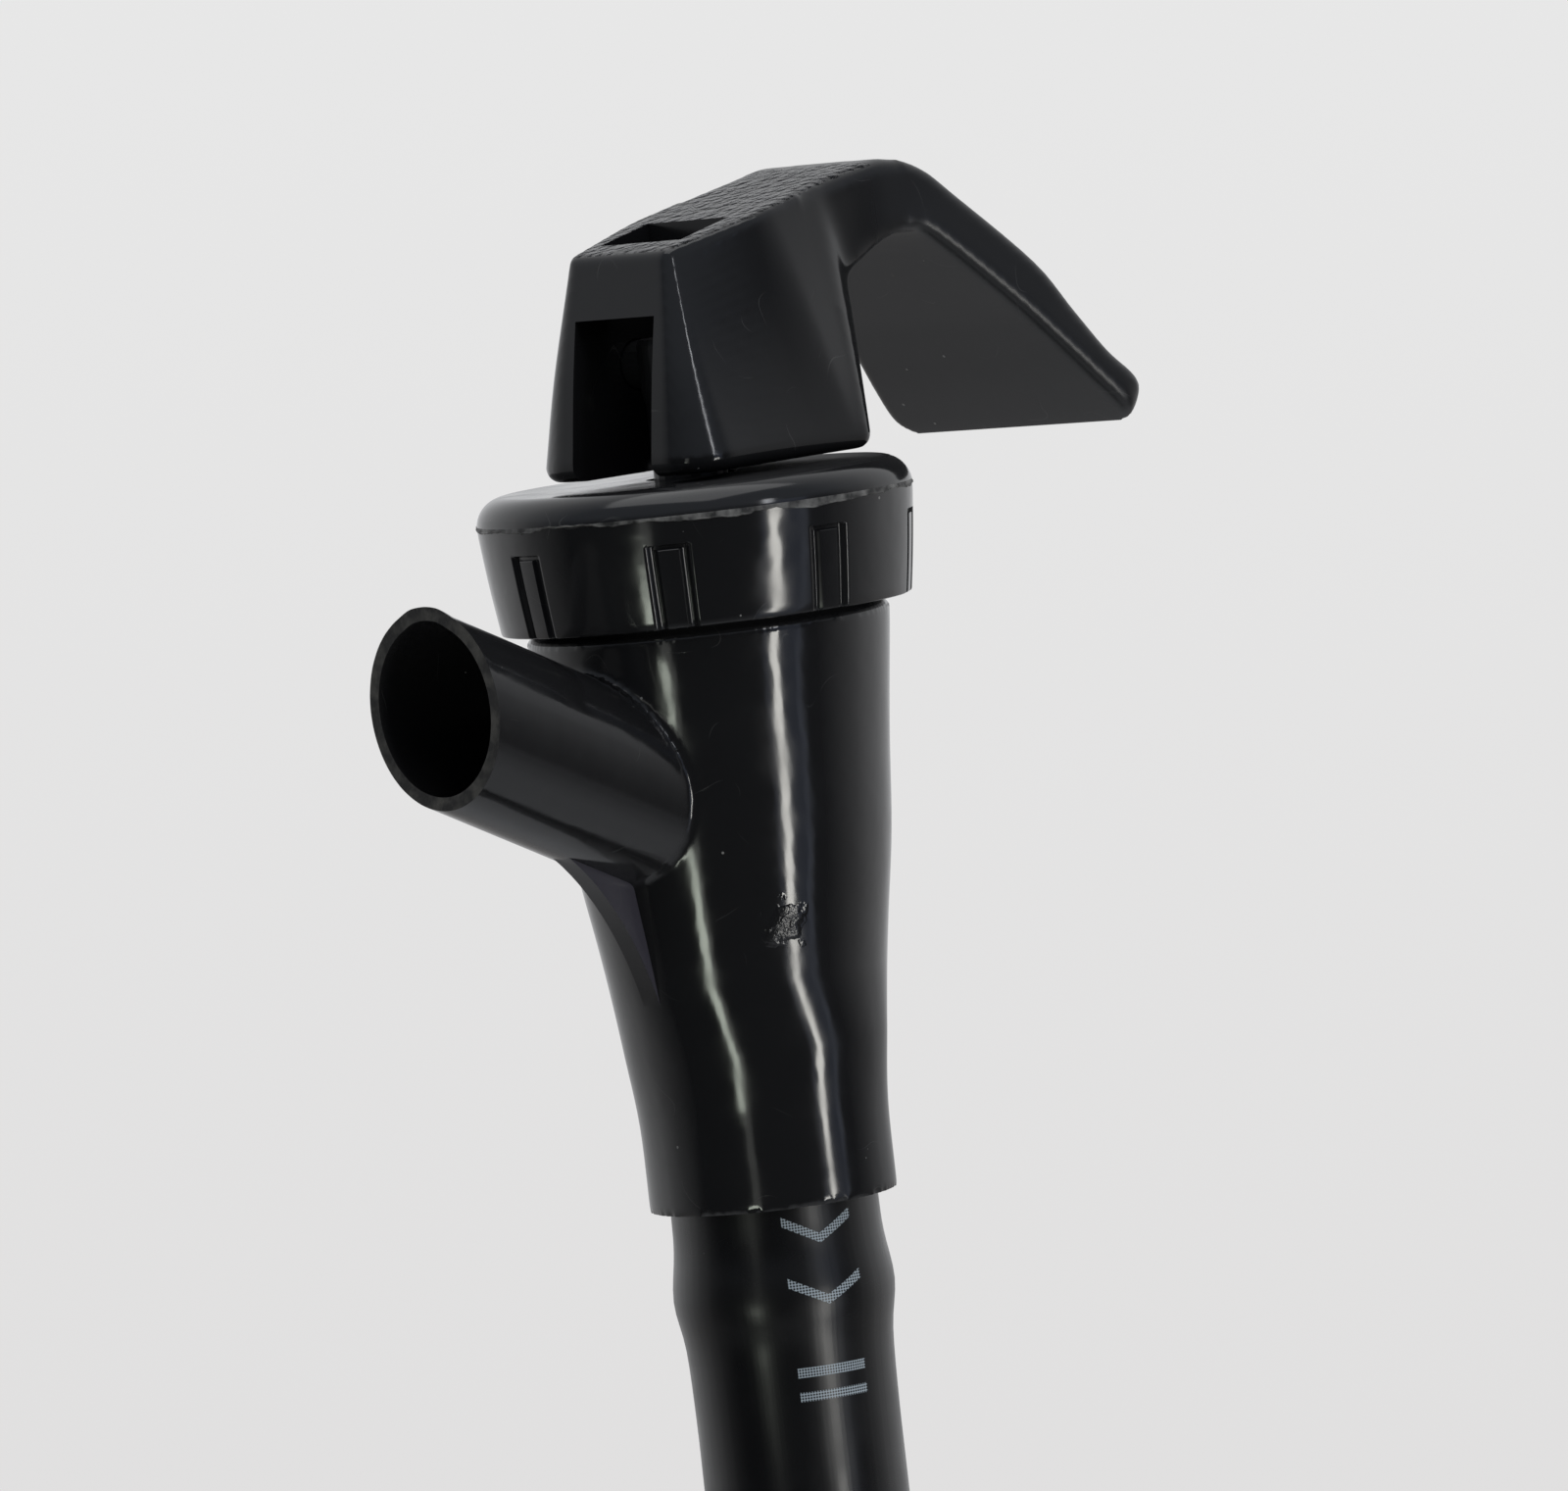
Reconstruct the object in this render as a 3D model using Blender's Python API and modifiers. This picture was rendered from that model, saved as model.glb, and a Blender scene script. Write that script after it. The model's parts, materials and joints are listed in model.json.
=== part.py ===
"""A hand-held beverage tap on a hose, closed by a spring and opened with a thumb lever.

Metres, +Z up. The origin is the centre of the skirt's lower rim, on the body's axis.
The spout points to -Y, the thumb paddle to +Y, and the lever tilts about the X direction.
"""

import math

import bmesh
import bpy
from mathutils import Matrix, Vector

GAP = 0.0003                      # left between touching pieces
ROUND_STEPS = 40                  # sides of the large turned pieces
SMALL_STEPS = 24                  # sides of the small turned pieces

# Hose
HOSE_R = 0.00715
HOSE_BORE_R = 0.0050
HOSE_TOP_Z = 0.0094
HOSE_BULGE_R = 0.0078
CUFF_FOOT_Z = -0.0140
LEAD_LENGTH = 0.1080              # from the skirt's rim to where the turn begins
COIL_R = 0.0715                   # to the middle of the hose
COIL_SHIFT = 0.0146               # sideways shift of the hose over one turn
HOSE_LENGTH = 0.6100
TAIL_LENGTH = HOSE_LENGTH - LEAD_LENGTH - 2 * math.pi * COIL_R
TAIL_FOOT_Z = -LEAD_LENGTH - TAIL_LENGTH
TAIL_TOP_Z = 0.0005 - LEAD_LENGTH  # where the stored turn ends beside its own start

# Body
BODY_TOP_Z = 0.0472
NECK_R = 0.0122
NECK_FOOT_Z = 0.0410
SKIRT_R = 0.0087
SKIRT_BORE_R = 0.0076
GROOVE_Z = 0.0100                 # how far the hose can go up inside the skirt
BARB_R = 0.00475
BARB_LIP_R = 0.0055
BARB_NOSE_Z = -0.0100
INLET_R = 0.0035
SEAT_Z = 0.0176
CHAMBER_FLOOR_Z = 0.0169
CHAMBER_R = 0.0080
CHAMBER_MOUTH_R = 0.0104

# Spout
SPOUT_R = 0.00635
SPOUT_BORE_R = 0.00548
SPOUT_RISE = math.radians(24.5)
SPOUT_ROOT_Z = 0.0256             # where its axis meets the body's axis
SPOUT_REACH = 0.0271              # from the body's axis to the plumb mouth
WEB_THICKNESS = 0.0016

# Cap
CAP_FOOT_Z = 0.0413
CAP_FOOT_R = 0.0144
CAP_SEAM_Z = 0.0488
CAP_SEAM_R = 0.0153
CAP_TOP_Z = 0.0510
CAP_BORE_R = 0.01275
CAP_ROOF_Z = 0.0487
CAP_HOLE_R = 0.0031
NOTCH_COUNT = 8
NOTCH_GROOVE_Y = 0.0011           # from a notch's middle to the middle of each of its grooves
NOTCH_GROOVE_WIDTH = 0.0009
NOTCH_DEPTH = 0.00045
NOTCH_TOP_Z = 0.0472
NOTCH_TURN = math.radians(-8.0)

# Valve
STEM_R = 0.0026
PIVOT_Z = 0.0590                  # the lever's axis
CROSSBAR_R = 0.0017
CROSSBAR_HALF = 0.0058
SEAL_R = 0.0053
SEAL_FOOT_Z = SEAT_Z + GAP
SEAL_TOP_Z = SEAL_FOOT_Z + 0.0030
COLLAR_Z = 0.0288                 # the spring stands on the stem's collar
COLLAR_R = 0.0056
SPRING_R = 0.0044
SPRING_WIRE_R = 0.0004
SPRING_TURNS = 5
SPRING_TOP_Z = 0.0460
WASHER_R = 0.0095
DIAPHRAGM_Z = 0.0475

# Lever
HUB_FOOT_Z = CAP_TOP_Z + 0.0005
WINDOW_HALF = 0.0039
WINDOW_TOP_Z = 0.0626
CAVITY_BACK_Y = 0.0078
PIVOT_HOLE_R = CROSSBAR_R + 0.00015
TOP_SLOT_HALF = 0.0040

# Far end of the hose
FLANGE_R = 0.0098
FLANGE_FOOT_Z = TAIL_FOOT_Z - 0.0120
NUT_FLAT = 0.0270                 # across flats
NUT_BORE_R = 0.0104
NUT_HEIGHT = 0.0150
NUT_TOP_Z = TAIL_FOOT_Z - 0.0040


def clear_scene():
    for obj in list(bpy.data.objects):
        bpy.data.objects.remove(obj)


def new_collection(name, hidden=False):
    collection = bpy.data.collections.new(name)
    bpy.context.scene.collection.children.link(collection)
    collection.hide_render = hidden
    return collection


def add_mesh(name, collection, bm):
    """Turns a bmesh into an object in the given collection."""
    mesh = bpy.data.meshes.new(name)
    bm.to_mesh(mesh)
    bm.free()
    obj = bpy.data.objects.new(name, mesh)
    collection.objects.link(obj)
    if collection.hide_render:
        obj.hide_render = True
        obj.display_type = "WIRE"
    return obj


def turned(name, collection, profile, steps, closed):
    """A turned piece. The profile's (radius, height) points run down the outer side, and a
    closed one runs back up the bore."""
    bm = bmesh.new()
    points = [bm.verts.new((radius, 0.0, height)) for radius, height in profile]
    for first, second in zip(points, points[1:]):
        bm.edges.new((first, second))
    if closed:
        bm.edges.new((points[-1], points[0]))
    obj = add_mesh(name, collection, bm)
    screw = obj.modifiers.new("Turn", "SCREW")
    screw.axis = "Z"
    screw.steps = steps
    screw.render_steps = steps
    screw.use_merge_vertices = True
    screw.merge_threshold = 0.00001
    return obj


def cylinder(name, collection, start, end, radius, steps):
    """A solid cylinder from one point to another."""
    start, end = Vector(start), Vector(end)
    turn = (end - start).to_track_quat("Z", "Y").to_matrix().to_4x4()
    bm = bmesh.new()
    bmesh.ops.create_cone(
        bm, cap_ends=True, segments=steps, radius1=radius, radius2=radius,
        depth=(end - start).length, matrix=Matrix.Translation((start + end) / 2) @ turn)
    return add_mesh(name, collection, bm)


def block(name, collection, low, high):
    """A box between two corners."""
    low, high = Vector(low), Vector(high)
    matrix = Matrix.Translation((low + high) / 2) @ Matrix.Diagonal((*(high - low), 1.0))
    bm = bmesh.new()
    bmesh.ops.create_cube(bm, size=1.0, matrix=matrix)
    return add_mesh(name, collection, bm)


def plate(name, collection, outline, thickness, matrix):
    """A flat plate: a filled outline, thickened and made a mesh."""
    curve = bpy.data.curves.new(name, "CURVE")
    curve.dimensions = "2D"
    curve.fill_mode = "BOTH"
    curve.extrude = thickness / 2
    spline = curve.splines.new("POLY")
    spline.points.add(len(outline) - 1)
    for point, (x, y) in zip(spline.points, outline):
        point.co = (x, y, 0.0, 1.0)
    spline.use_cyclic_u = True
    flat = bpy.data.objects.new(name + "_curve", curve)
    bpy.context.scene.collection.objects.link(flat)
    flat.matrix_world = matrix
    bpy.context.view_layer.update()
    shape = flat.evaluated_get(bpy.context.evaluated_depsgraph_get())
    bm = bmesh.new()
    bm.from_mesh(bpy.data.meshes.new_from_object(shape))
    bmesh.ops.remove_doubles(bm, verts=bm.verts, dist=0.000001)
    obj = add_mesh(name, collection, bm)
    obj.matrix_world = flat.matrix_world
    bpy.data.objects.remove(flat)
    return obj


def loft(name, collection, sections):
    """A solid through sections that have the same number of corners."""
    bm = bmesh.new()
    rings = [[bm.verts.new(corner) for corner in section] for section in sections]
    count = len(rings[0])
    for first, second in zip(rings, rings[1:]):
        for k in range(count):
            after = (k + 1) % count
            bm.faces.new((first[k], first[after], second[after], second[k]))
    bm.faces.new(rings[0])
    bm.faces.new(rings[-1])
    bmesh.ops.recalc_face_normals(bm, faces=bm.faces)
    return add_mesh(name, collection, bm)


def tube(name, collection, points, radius):
    """A round cord through the points, with closed ends."""
    curve = bpy.data.curves.new(name, "CURVE")
    curve.dimensions = "3D"
    curve.bevel_depth = radius
    curve.bevel_resolution = 2
    curve.use_fill_caps = True
    spline = curve.splines.new("POLY")
    spline.points.add(len(points) - 1)
    for target, point in zip(spline.points, points):
        target.co = (*point, 1.0)
    obj = bpy.data.objects.new(name, curve)
    collection.objects.link(obj)
    return obj


def combine(obj, other, operation):
    """Cuts obj with the other object, or joins that one to it."""
    boolean = obj.modifiers.new(other.name, "BOOLEAN")
    boolean.operation = operation
    boolean.object = other


def finish(obj, colour, roughness, metallic=0.0, smooth_angle=35.0):
    """Gives a piece its own material, and smooth shading on its round faces."""
    material = bpy.data.materials.new(obj.name)
    material.use_nodes = True
    shader = material.node_tree.nodes["Principled BSDF"]
    shader.inputs["Base Color"].default_value = (*colour, 1.0)
    shader.inputs["Roughness"].default_value = roughness
    shader.inputs["Metallic"].default_value = metallic
    obj.data.materials.append(material)
    if obj.type == "MESH":
        obj.data.shade_smooth()
        obj.data.set_sharp_from_angle(angle=math.radians(smooth_angle))


def set_origin(obj, point):
    """Moves the object's origin to a point on its joint's axis and leaves its shape in place."""
    obj.data.transform(Matrix.Translation(-Vector(point)))
    obj.location = point


def arc(centre, radius, first, last, steps):
    """Points on an arc in a profile's plane, between two angles in degrees."""
    angles = [math.radians(first + (last - first) * k / steps) for k in range(steps + 1)]
    return [(centre[0] + radius * math.cos(a), centre[1] + radius * math.sin(a)) for a in angles]


def bend(start, control, end, steps):
    """Points on a quadratic curve that leaves start and reaches end along the control point."""
    found = []
    for k in range(steps + 1):
        t = k / steps
        found.append(tuple(
            (1 - t) ** 2 * s + 2 * t * (1 - t) * c + t * t * e
            for s, c, e in zip(start, control, end)))
    return found


BLACK_GLOSS = (0.012, 0.012, 0.013)
RUBBER = (0.02, 0.02, 0.02)
CLEAR_RUBBER = (0.35, 0.33, 0.30)
WHITE_PLASTIC = (0.62, 0.62, 0.60)
STEEL = (0.60, 0.60, 0.60)


def make_tap_body(parts, tools):
    """Tapered body: skirt and barb below, seat and chamber inside, neck above, spout in front."""
    outline = [
        (0.0, BODY_TOP_Z), (NECK_R, BODY_TOP_Z), (NECK_R, NECK_FOOT_Z),
        (0.01275, 0.0406), (0.01260, 0.0390), (0.01225, 0.0360),
        (0.01175, 0.0315), (0.01135, 0.0270), (0.01095, 0.0235),
        (0.01025, 0.0190), (0.00970, 0.0150), (0.00925, 0.0110),
        (0.00875, 0.0060), (SKIRT_R, 0.0), (SKIRT_BORE_R, 0.0),
        (SKIRT_BORE_R, GROOVE_Z), (BARB_R, GROOVE_Z),
        (BARB_R, -0.0052), (BARB_LIP_R, -0.0056), (BARB_LIP_R, -0.0062),
        (0.00435, BARB_NOSE_Z), (0.0, BARB_NOSE_Z),
    ]
    body = turned("tap_body", parts, outline, ROUND_STEPS, closed=False)

    along = Vector((0.0, -math.cos(SPOUT_RISE), math.sin(SPOUT_RISE)))
    root = Vector((0.0, 0.0, SPOUT_ROOT_Z))
    mouth = root + along * (SPOUT_REACH / math.cos(SPOUT_RISE))
    combine(body, cylinder("spout_tube", tools, root, mouth + along * 0.008, SPOUT_R, 36), "UNION")

    # The web's outline lies in the Y-Z plane: its lower edge is a hollow curve.
    edge = bend((-0.0175, 0.0269), (-0.0112, 0.0222), (-0.0090, 0.0125), 6)
    outline = edge + [(-0.0060, 0.0125), (-0.0060, 0.0280), (-0.0165, 0.0300)]
    upright = Matrix(((0, 0, 1, 0), (1, 0, 0, 0), (0, 1, 0, 0), (0, 0, 0, 1)))
    combine(body, plate("spout_web", tools, outline, WEB_THICKNESS, upright), "UNION")

    chamber = [
        (0.0, BODY_TOP_Z + 0.001), (CHAMBER_MOUTH_R, BODY_TOP_Z + 0.001),
        (0.0102, 0.0410), (0.0096, 0.0340), (0.0084, 0.0220), (CHAMBER_R, 0.0185),
        (CHAMBER_R, CHAMBER_FLOOR_Z), (0.0047, CHAMBER_FLOOR_Z), (0.0045, SEAT_Z),
        (0.0037, SEAT_Z), (INLET_R, SEAT_Z - 0.0002), (INLET_R, BARB_NOSE_Z - 0.001),
        (0.0, BARB_NOSE_Z - 0.001),
    ]
    combine(body, turned("chamber_cut", tools, chamber, ROUND_STEPS, closed=False), "DIFFERENCE")
    bore = cylinder("spout_bore_cut", tools, root, mouth + along * 0.012, SPOUT_BORE_R, 36)
    combine(body, bore, "DIFFERENCE")
    trim = block("mouth_cut", tools, mouth + Vector((-0.012, -0.012, -0.012)),
                 mouth + Vector((0.012, 0.0, 0.014)))
    combine(body, trim, "DIFFERENCE")
    finish(body, BLACK_GLOSS, 0.22)


def make_cap_nut(parts, tools):
    """Screw cap: a rounded shoulder above the seam and grip notches round its wall."""
    shoulder = arc((CAP_SEAM_R - 0.0021, CAP_TOP_Z - 0.0021), 0.0021, 90, 8, 4)
    outline = [(CAP_HOLE_R, CAP_TOP_Z), *shoulder, (CAP_SEAM_R, CAP_SEAM_Z),
               (CAP_FOOT_R, CAP_FOOT_Z), (CAP_BORE_R, CAP_FOOT_Z),
               (CAP_BORE_R, CAP_ROOF_Z), (CAP_HOLE_R, CAP_ROOF_Z)]
    cap = turned("cap_nut", parts, outline, 48, closed=True)
    wall_r = (CAP_SEAM_R + CAP_FOOT_R) / 2
    for k in range(NOTCH_COUNT):
        turn = Matrix.Rotation(NOTCH_TURN + 2 * math.pi * k / NOTCH_COUNT, 4, "Z")
        for side, middle in (("left", -NOTCH_GROOVE_Y), ("right", NOTCH_GROOVE_Y)):
            low = (wall_r - NOTCH_DEPTH, middle - NOTCH_GROOVE_WIDTH / 2, CAP_FOOT_Z - 0.001)
            high = (wall_r + 0.0020, middle + NOTCH_GROOVE_WIDTH / 2, NOTCH_TOP_Z)
            groove = block(f"notch_cut_{k}_{side}", tools, low, high)
            groove.data.transform(turn)
            combine(cap, groove, "DIFFERENCE")
    finish(cap, BLACK_GLOSS, 0.25)


def make_valve(parts, tools):
    """The stem with its T head, the seal on its foot, and the spring between collar and washer."""
    foot_r = 0.0014
    outline = [
        (0.0, 0.0608), (0.0026, 0.0608), (0.0028, 0.0604), (0.0028, 0.0572), (STEM_R, 0.0562),
        (STEM_R, COLLAR_Z), (COLLAR_R, COLLAR_Z), (COLLAR_R, COLLAR_Z - 0.0012),
        (STEM_R, COLLAR_Z - 0.0012), (STEM_R, SEAL_TOP_Z + 0.0018),
        (0.0046, SEAL_TOP_Z + 0.0016), (0.0046, SEAL_TOP_Z + GAP),
        (foot_r, SEAL_TOP_Z + GAP), (foot_r, SEAL_FOOT_Z + 0.0006), (0.0, SEAL_FOOT_Z + 0.0006),
    ]
    stem = turned("stem", parts, outline, SMALL_STEPS, closed=False)
    bar = cylinder("crossbar", tools, (-CROSSBAR_HALF, 0, PIVOT_Z), (CROSSBAR_HALF, 0, PIVOT_Z),
                   CROSSBAR_R, 20)
    combine(stem, bar, "UNION")
    finish(stem, BLACK_GLOSS, 0.4)

    hole = foot_r + GAP
    outline = [(hole, SEAL_TOP_Z), (SEAL_R - 0.0004, SEAL_TOP_Z), (SEAL_R, SEAL_TOP_Z - 0.0004),
               (SEAL_R, SEAL_FOOT_Z + 0.0004), (SEAL_R - 0.0004, SEAL_FOOT_Z), (hole, SEAL_FOOT_Z)]
    seal = turned("valve_seal", parts, outline, SMALL_STEPS, closed=True)
    finish(seal, RUBBER, 0.6)

    # The end turns lie flat, so that the spring stands square.
    foot = COLLAR_Z + GAP + SPRING_WIRE_R
    head = SPRING_TOP_Z - SPRING_WIRE_R
    points = []
    per_turn = 12
    total = per_turn * (SPRING_TURNS + 2)
    pitch = (head - foot - 4 * SPRING_WIRE_R - 2 * GAP) / SPRING_TURNS
    flat_rise = 2 * SPRING_WIRE_R + GAP
    for k in range(total + 1):
        turns = k / per_turn
        rise = min(turns, 1.0) * flat_rise
        rise += min(max(turns - 1.0, 0.0), SPRING_TURNS) * pitch
        rise += max(turns - 1.0 - SPRING_TURNS, 0.0) * flat_rise
        angle = 2 * math.pi * turns
        points.append((SPRING_R * math.cos(angle), SPRING_R * math.sin(angle), foot + rise))
    spring = tube("return_spring", parts, points, SPRING_WIRE_R)
    finish(spring, STEEL, 0.3, metallic=1.0)

    top = SPRING_TOP_Z + GAP + 0.0009
    outline = [(0.0033, top), (WASHER_R, top), (WASHER_R, SPRING_TOP_Z + GAP),
               (0.0033, SPRING_TOP_Z + GAP)]
    washer = turned("spring_washer", parts, outline, SMALL_STEPS, closed=True)
    finish(washer, WHITE_PLASTIC, 0.4)

    lip = STEM_R + GAP
    outline = [(lip, 0.0484), (0.0121, 0.0484), (0.0121, DIAPHRAGM_Z), (0.0044, DIAPHRAGM_Z),
               (lip, DIAPHRAGM_Z)]
    seal = turned("diaphragm", parts, outline, SMALL_STEPS, closed=True)
    finish(seal, RUBBER, 0.6)


def hub_ring(front, back, front_half, back_half, front_round, back_round, height, slope):
    """One level of the hub: a four-sided outline with rounded corners, sloping up to the back."""
    right = arc((front_half - front_round, front + front_round), front_round, -90, 0, 4)
    right += arc((back_half - back_round, back - back_round), back_round, 0, 90, 4)
    ring = right + [(-x, y) for x, y in reversed(right)]
    return [(x, y, height + slope * y) for x, y in ring]


def make_lever(parts, tools):
    """Hub over the stem's head, neck and thumb paddle, as one moulding."""
    # The front corners are rounded most at the foot, and the back corners most at the top.
    edge = 0.0006
    levels = [
        (-0.0076 + edge, 0.0103 - edge, 0.0086 - edge, 0.0085 - edge, 0.0028, 0.0004, HUB_FOOT_Z, 0.0),
        (-0.0076, 0.0103, 0.0086, 0.0085, 0.0034, 0.0010, HUB_FOOT_Z + edge, 0.0),
        (-0.0065, 0.0124, 0.0070, 0.0074, 0.0020, 0.0028, 0.0594, 0.08),
        (-0.0049, 0.0142, 0.0051, 0.0062, 0.0007, 0.0042, 0.0675, 0.22),
        (-0.0049 + edge, 0.0142 - edge, 0.0051 - edge, 0.0062 - edge, 0.0004, 0.0038, 0.0681, 0.22),
    ]
    lever = loft("lever", parts, [hub_ring(*level) for level in levels])

    # Neck and paddle: (half width, upper Y, upper Z, lower Y, lower Z) from the hub to the tip.
    sections = [
        (0.0053, 0.0072, 0.0694, 0.0072, 0.0615),
        (0.0061, 0.0134, 0.0709, 0.0129, 0.0640),
        (0.0067, 0.0165, 0.0714, 0.0153, 0.0654),
        (0.0072, 0.0194, 0.0702, 0.0176, 0.0660),
        (0.0078, 0.0220, 0.0681, 0.0194, 0.0652),
        (0.0095, 0.0274, 0.0628, 0.0248, 0.0600),
        (0.0104, 0.0299, 0.0591, 0.0275, 0.0571),
        (0.0113, 0.0320, 0.0559, 0.0302, 0.0540),
        (0.0118, 0.0342, 0.0537, 0.0325, 0.0516),
        (0.0109, 0.0347, 0.0521, 0.0335, 0.0505),
    ]
    rings = []
    for half, y_up, z_up, y_low, z_low in sections:
        up, low = Vector((0, y_up, z_up)), Vector((0, y_low, z_low))
        inset = min(0.0010, (up - low).length * 0.3)
        side_up = up.lerp(low, inset / (up - low).length)
        side_low = low.lerp(up, inset / (up - low).length)
        rings.append([
            (half - inset, *up[1:]), (half, *side_up[1:]), (half, *side_low[1:]),
            (half - inset, *low[1:]), (inset - half, *low[1:]), (-half, *side_low[1:]),
            (-half, *side_up[1:]), (inset - half, *up[1:])])
    combine(lever, loft("neck_and_paddle", tools, rings), "UNION")

    combine(lever, block("window_cut", tools, (-WINDOW_HALF, -0.020, HUB_FOOT_Z - 0.001),
                         (WINDOW_HALF, CAVITY_BACK_Y, WINDOW_TOP_Z)), "DIFFERENCE")
    combine(lever, block("top_slot_cut", tools, (-TOP_SLOT_HALF, -0.0024, WINDOW_TOP_Z - 0.001),
                         (TOP_SLOT_HALF, 0.0025, 0.075)), "DIFFERENCE")
    reach = CROSSBAR_HALF + GAP
    combine(lever, cylinder("pivot_hole_cut", tools, (-reach, 0, PIVOT_Z), (reach, 0, PIVOT_Z),
                            PIVOT_HOLE_R, 20), "DIFFERENCE")
    finish(lever, BLACK_GLOSS, 0.25)
    set_origin(lever, (0.0, 0.0, PIVOT_Z))


def make_hose(parts, tools):
    """The hose: its end over the barb, the hanging run, one stored turn and the tail."""
    outline = [
        (HOSE_R, HOSE_TOP_Z), (0.0073, 0.0), (0.0074, -0.0030), (HOSE_BULGE_R, -0.0065),
        (0.0073, -0.0100), (HOSE_R, CUFF_FOOT_Z), (HOSE_BORE_R, CUFF_FOOT_Z),
        (HOSE_BORE_R, -0.0106), (0.0058, -0.0066), (0.0058, -0.0050),
        (0.00508, -0.0045), (0.00508, HOSE_TOP_Z),
    ]
    cuff = turned("hose_cuff", parts, outline, 32, closed=True)
    finish(cuff, RUBBER, 0.35)

    heights = [CUFF_FOOT_Z - GAP, -0.045, -0.076, -LEAD_LENGTH + GAP]
    lead = tube("hose_lead", parts, [(0.0, 0.0, z) for z in heights], HOSE_R)
    finish(lead, RUBBER, 0.35)

    # One ring holds the stored turn. It is cut away beside the run down and the tail.
    near = arc((COIL_R, COIL_SHIFT), HOSE_R, 180, 0, 5)
    far = arc((COIL_R, 0.0), HOSE_R, 0, -180, 5)
    outline = near + far
    coil = turned("hose_coil", parts, outline, 46, closed=True)
    coil.rotation_euler = (0.0, math.radians(90), 0.0)
    coil.location = (0.0, -COIL_R, -LEAD_LENGTH)
    combine(coil, block("lead_cut", tools, (-0.010, -0.009, -LEAD_LENGTH),
                        (HOSE_R + GAP, 0.010, -0.020)), "DIFFERENCE")
    combine(coil, block("tail_cut", tools, (HOSE_R, -0.014, TAIL_FOOT_Z - 0.006),
                        (0.030, 0.010, TAIL_TOP_Z)), "DIFFERENCE")
    finish(coil, RUBBER, 0.35)

    outline = [(HOSE_R, TAIL_TOP_Z - GAP), (HOSE_R, TAIL_FOOT_Z),
               (HOSE_BORE_R, TAIL_FOOT_Z), (HOSE_BORE_R, TAIL_TOP_Z - GAP)]
    tail = turned("hose_tail", parts, outline, SMALL_STEPS, closed=True)
    tail.location = (COIL_SHIFT, 0.0, 0.0)
    finish(tail, RUBBER, 0.35)

    # The strap runs round the run down and the tail, side by side.
    def strap_outline(radius):
        right = arc((COIL_SHIFT, 0.0), radius, -90, 90, 8)
        left = arc((0.0, 0.0), radius, 90, 270, 8)
        return right + left

    level = Matrix.Translation((0.0, 0.0, -LEAD_LENGTH))
    strap = plate("hose_tie", parts, strap_outline(HOSE_R + GAP + 0.0012), 0.0070, level)
    combine(strap, plate("tie_cut", tools, strap_outline(HOSE_R + GAP), 0.0090, level), "DIFFERENCE")
    finish(strap, RUBBER, 0.6)


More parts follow.
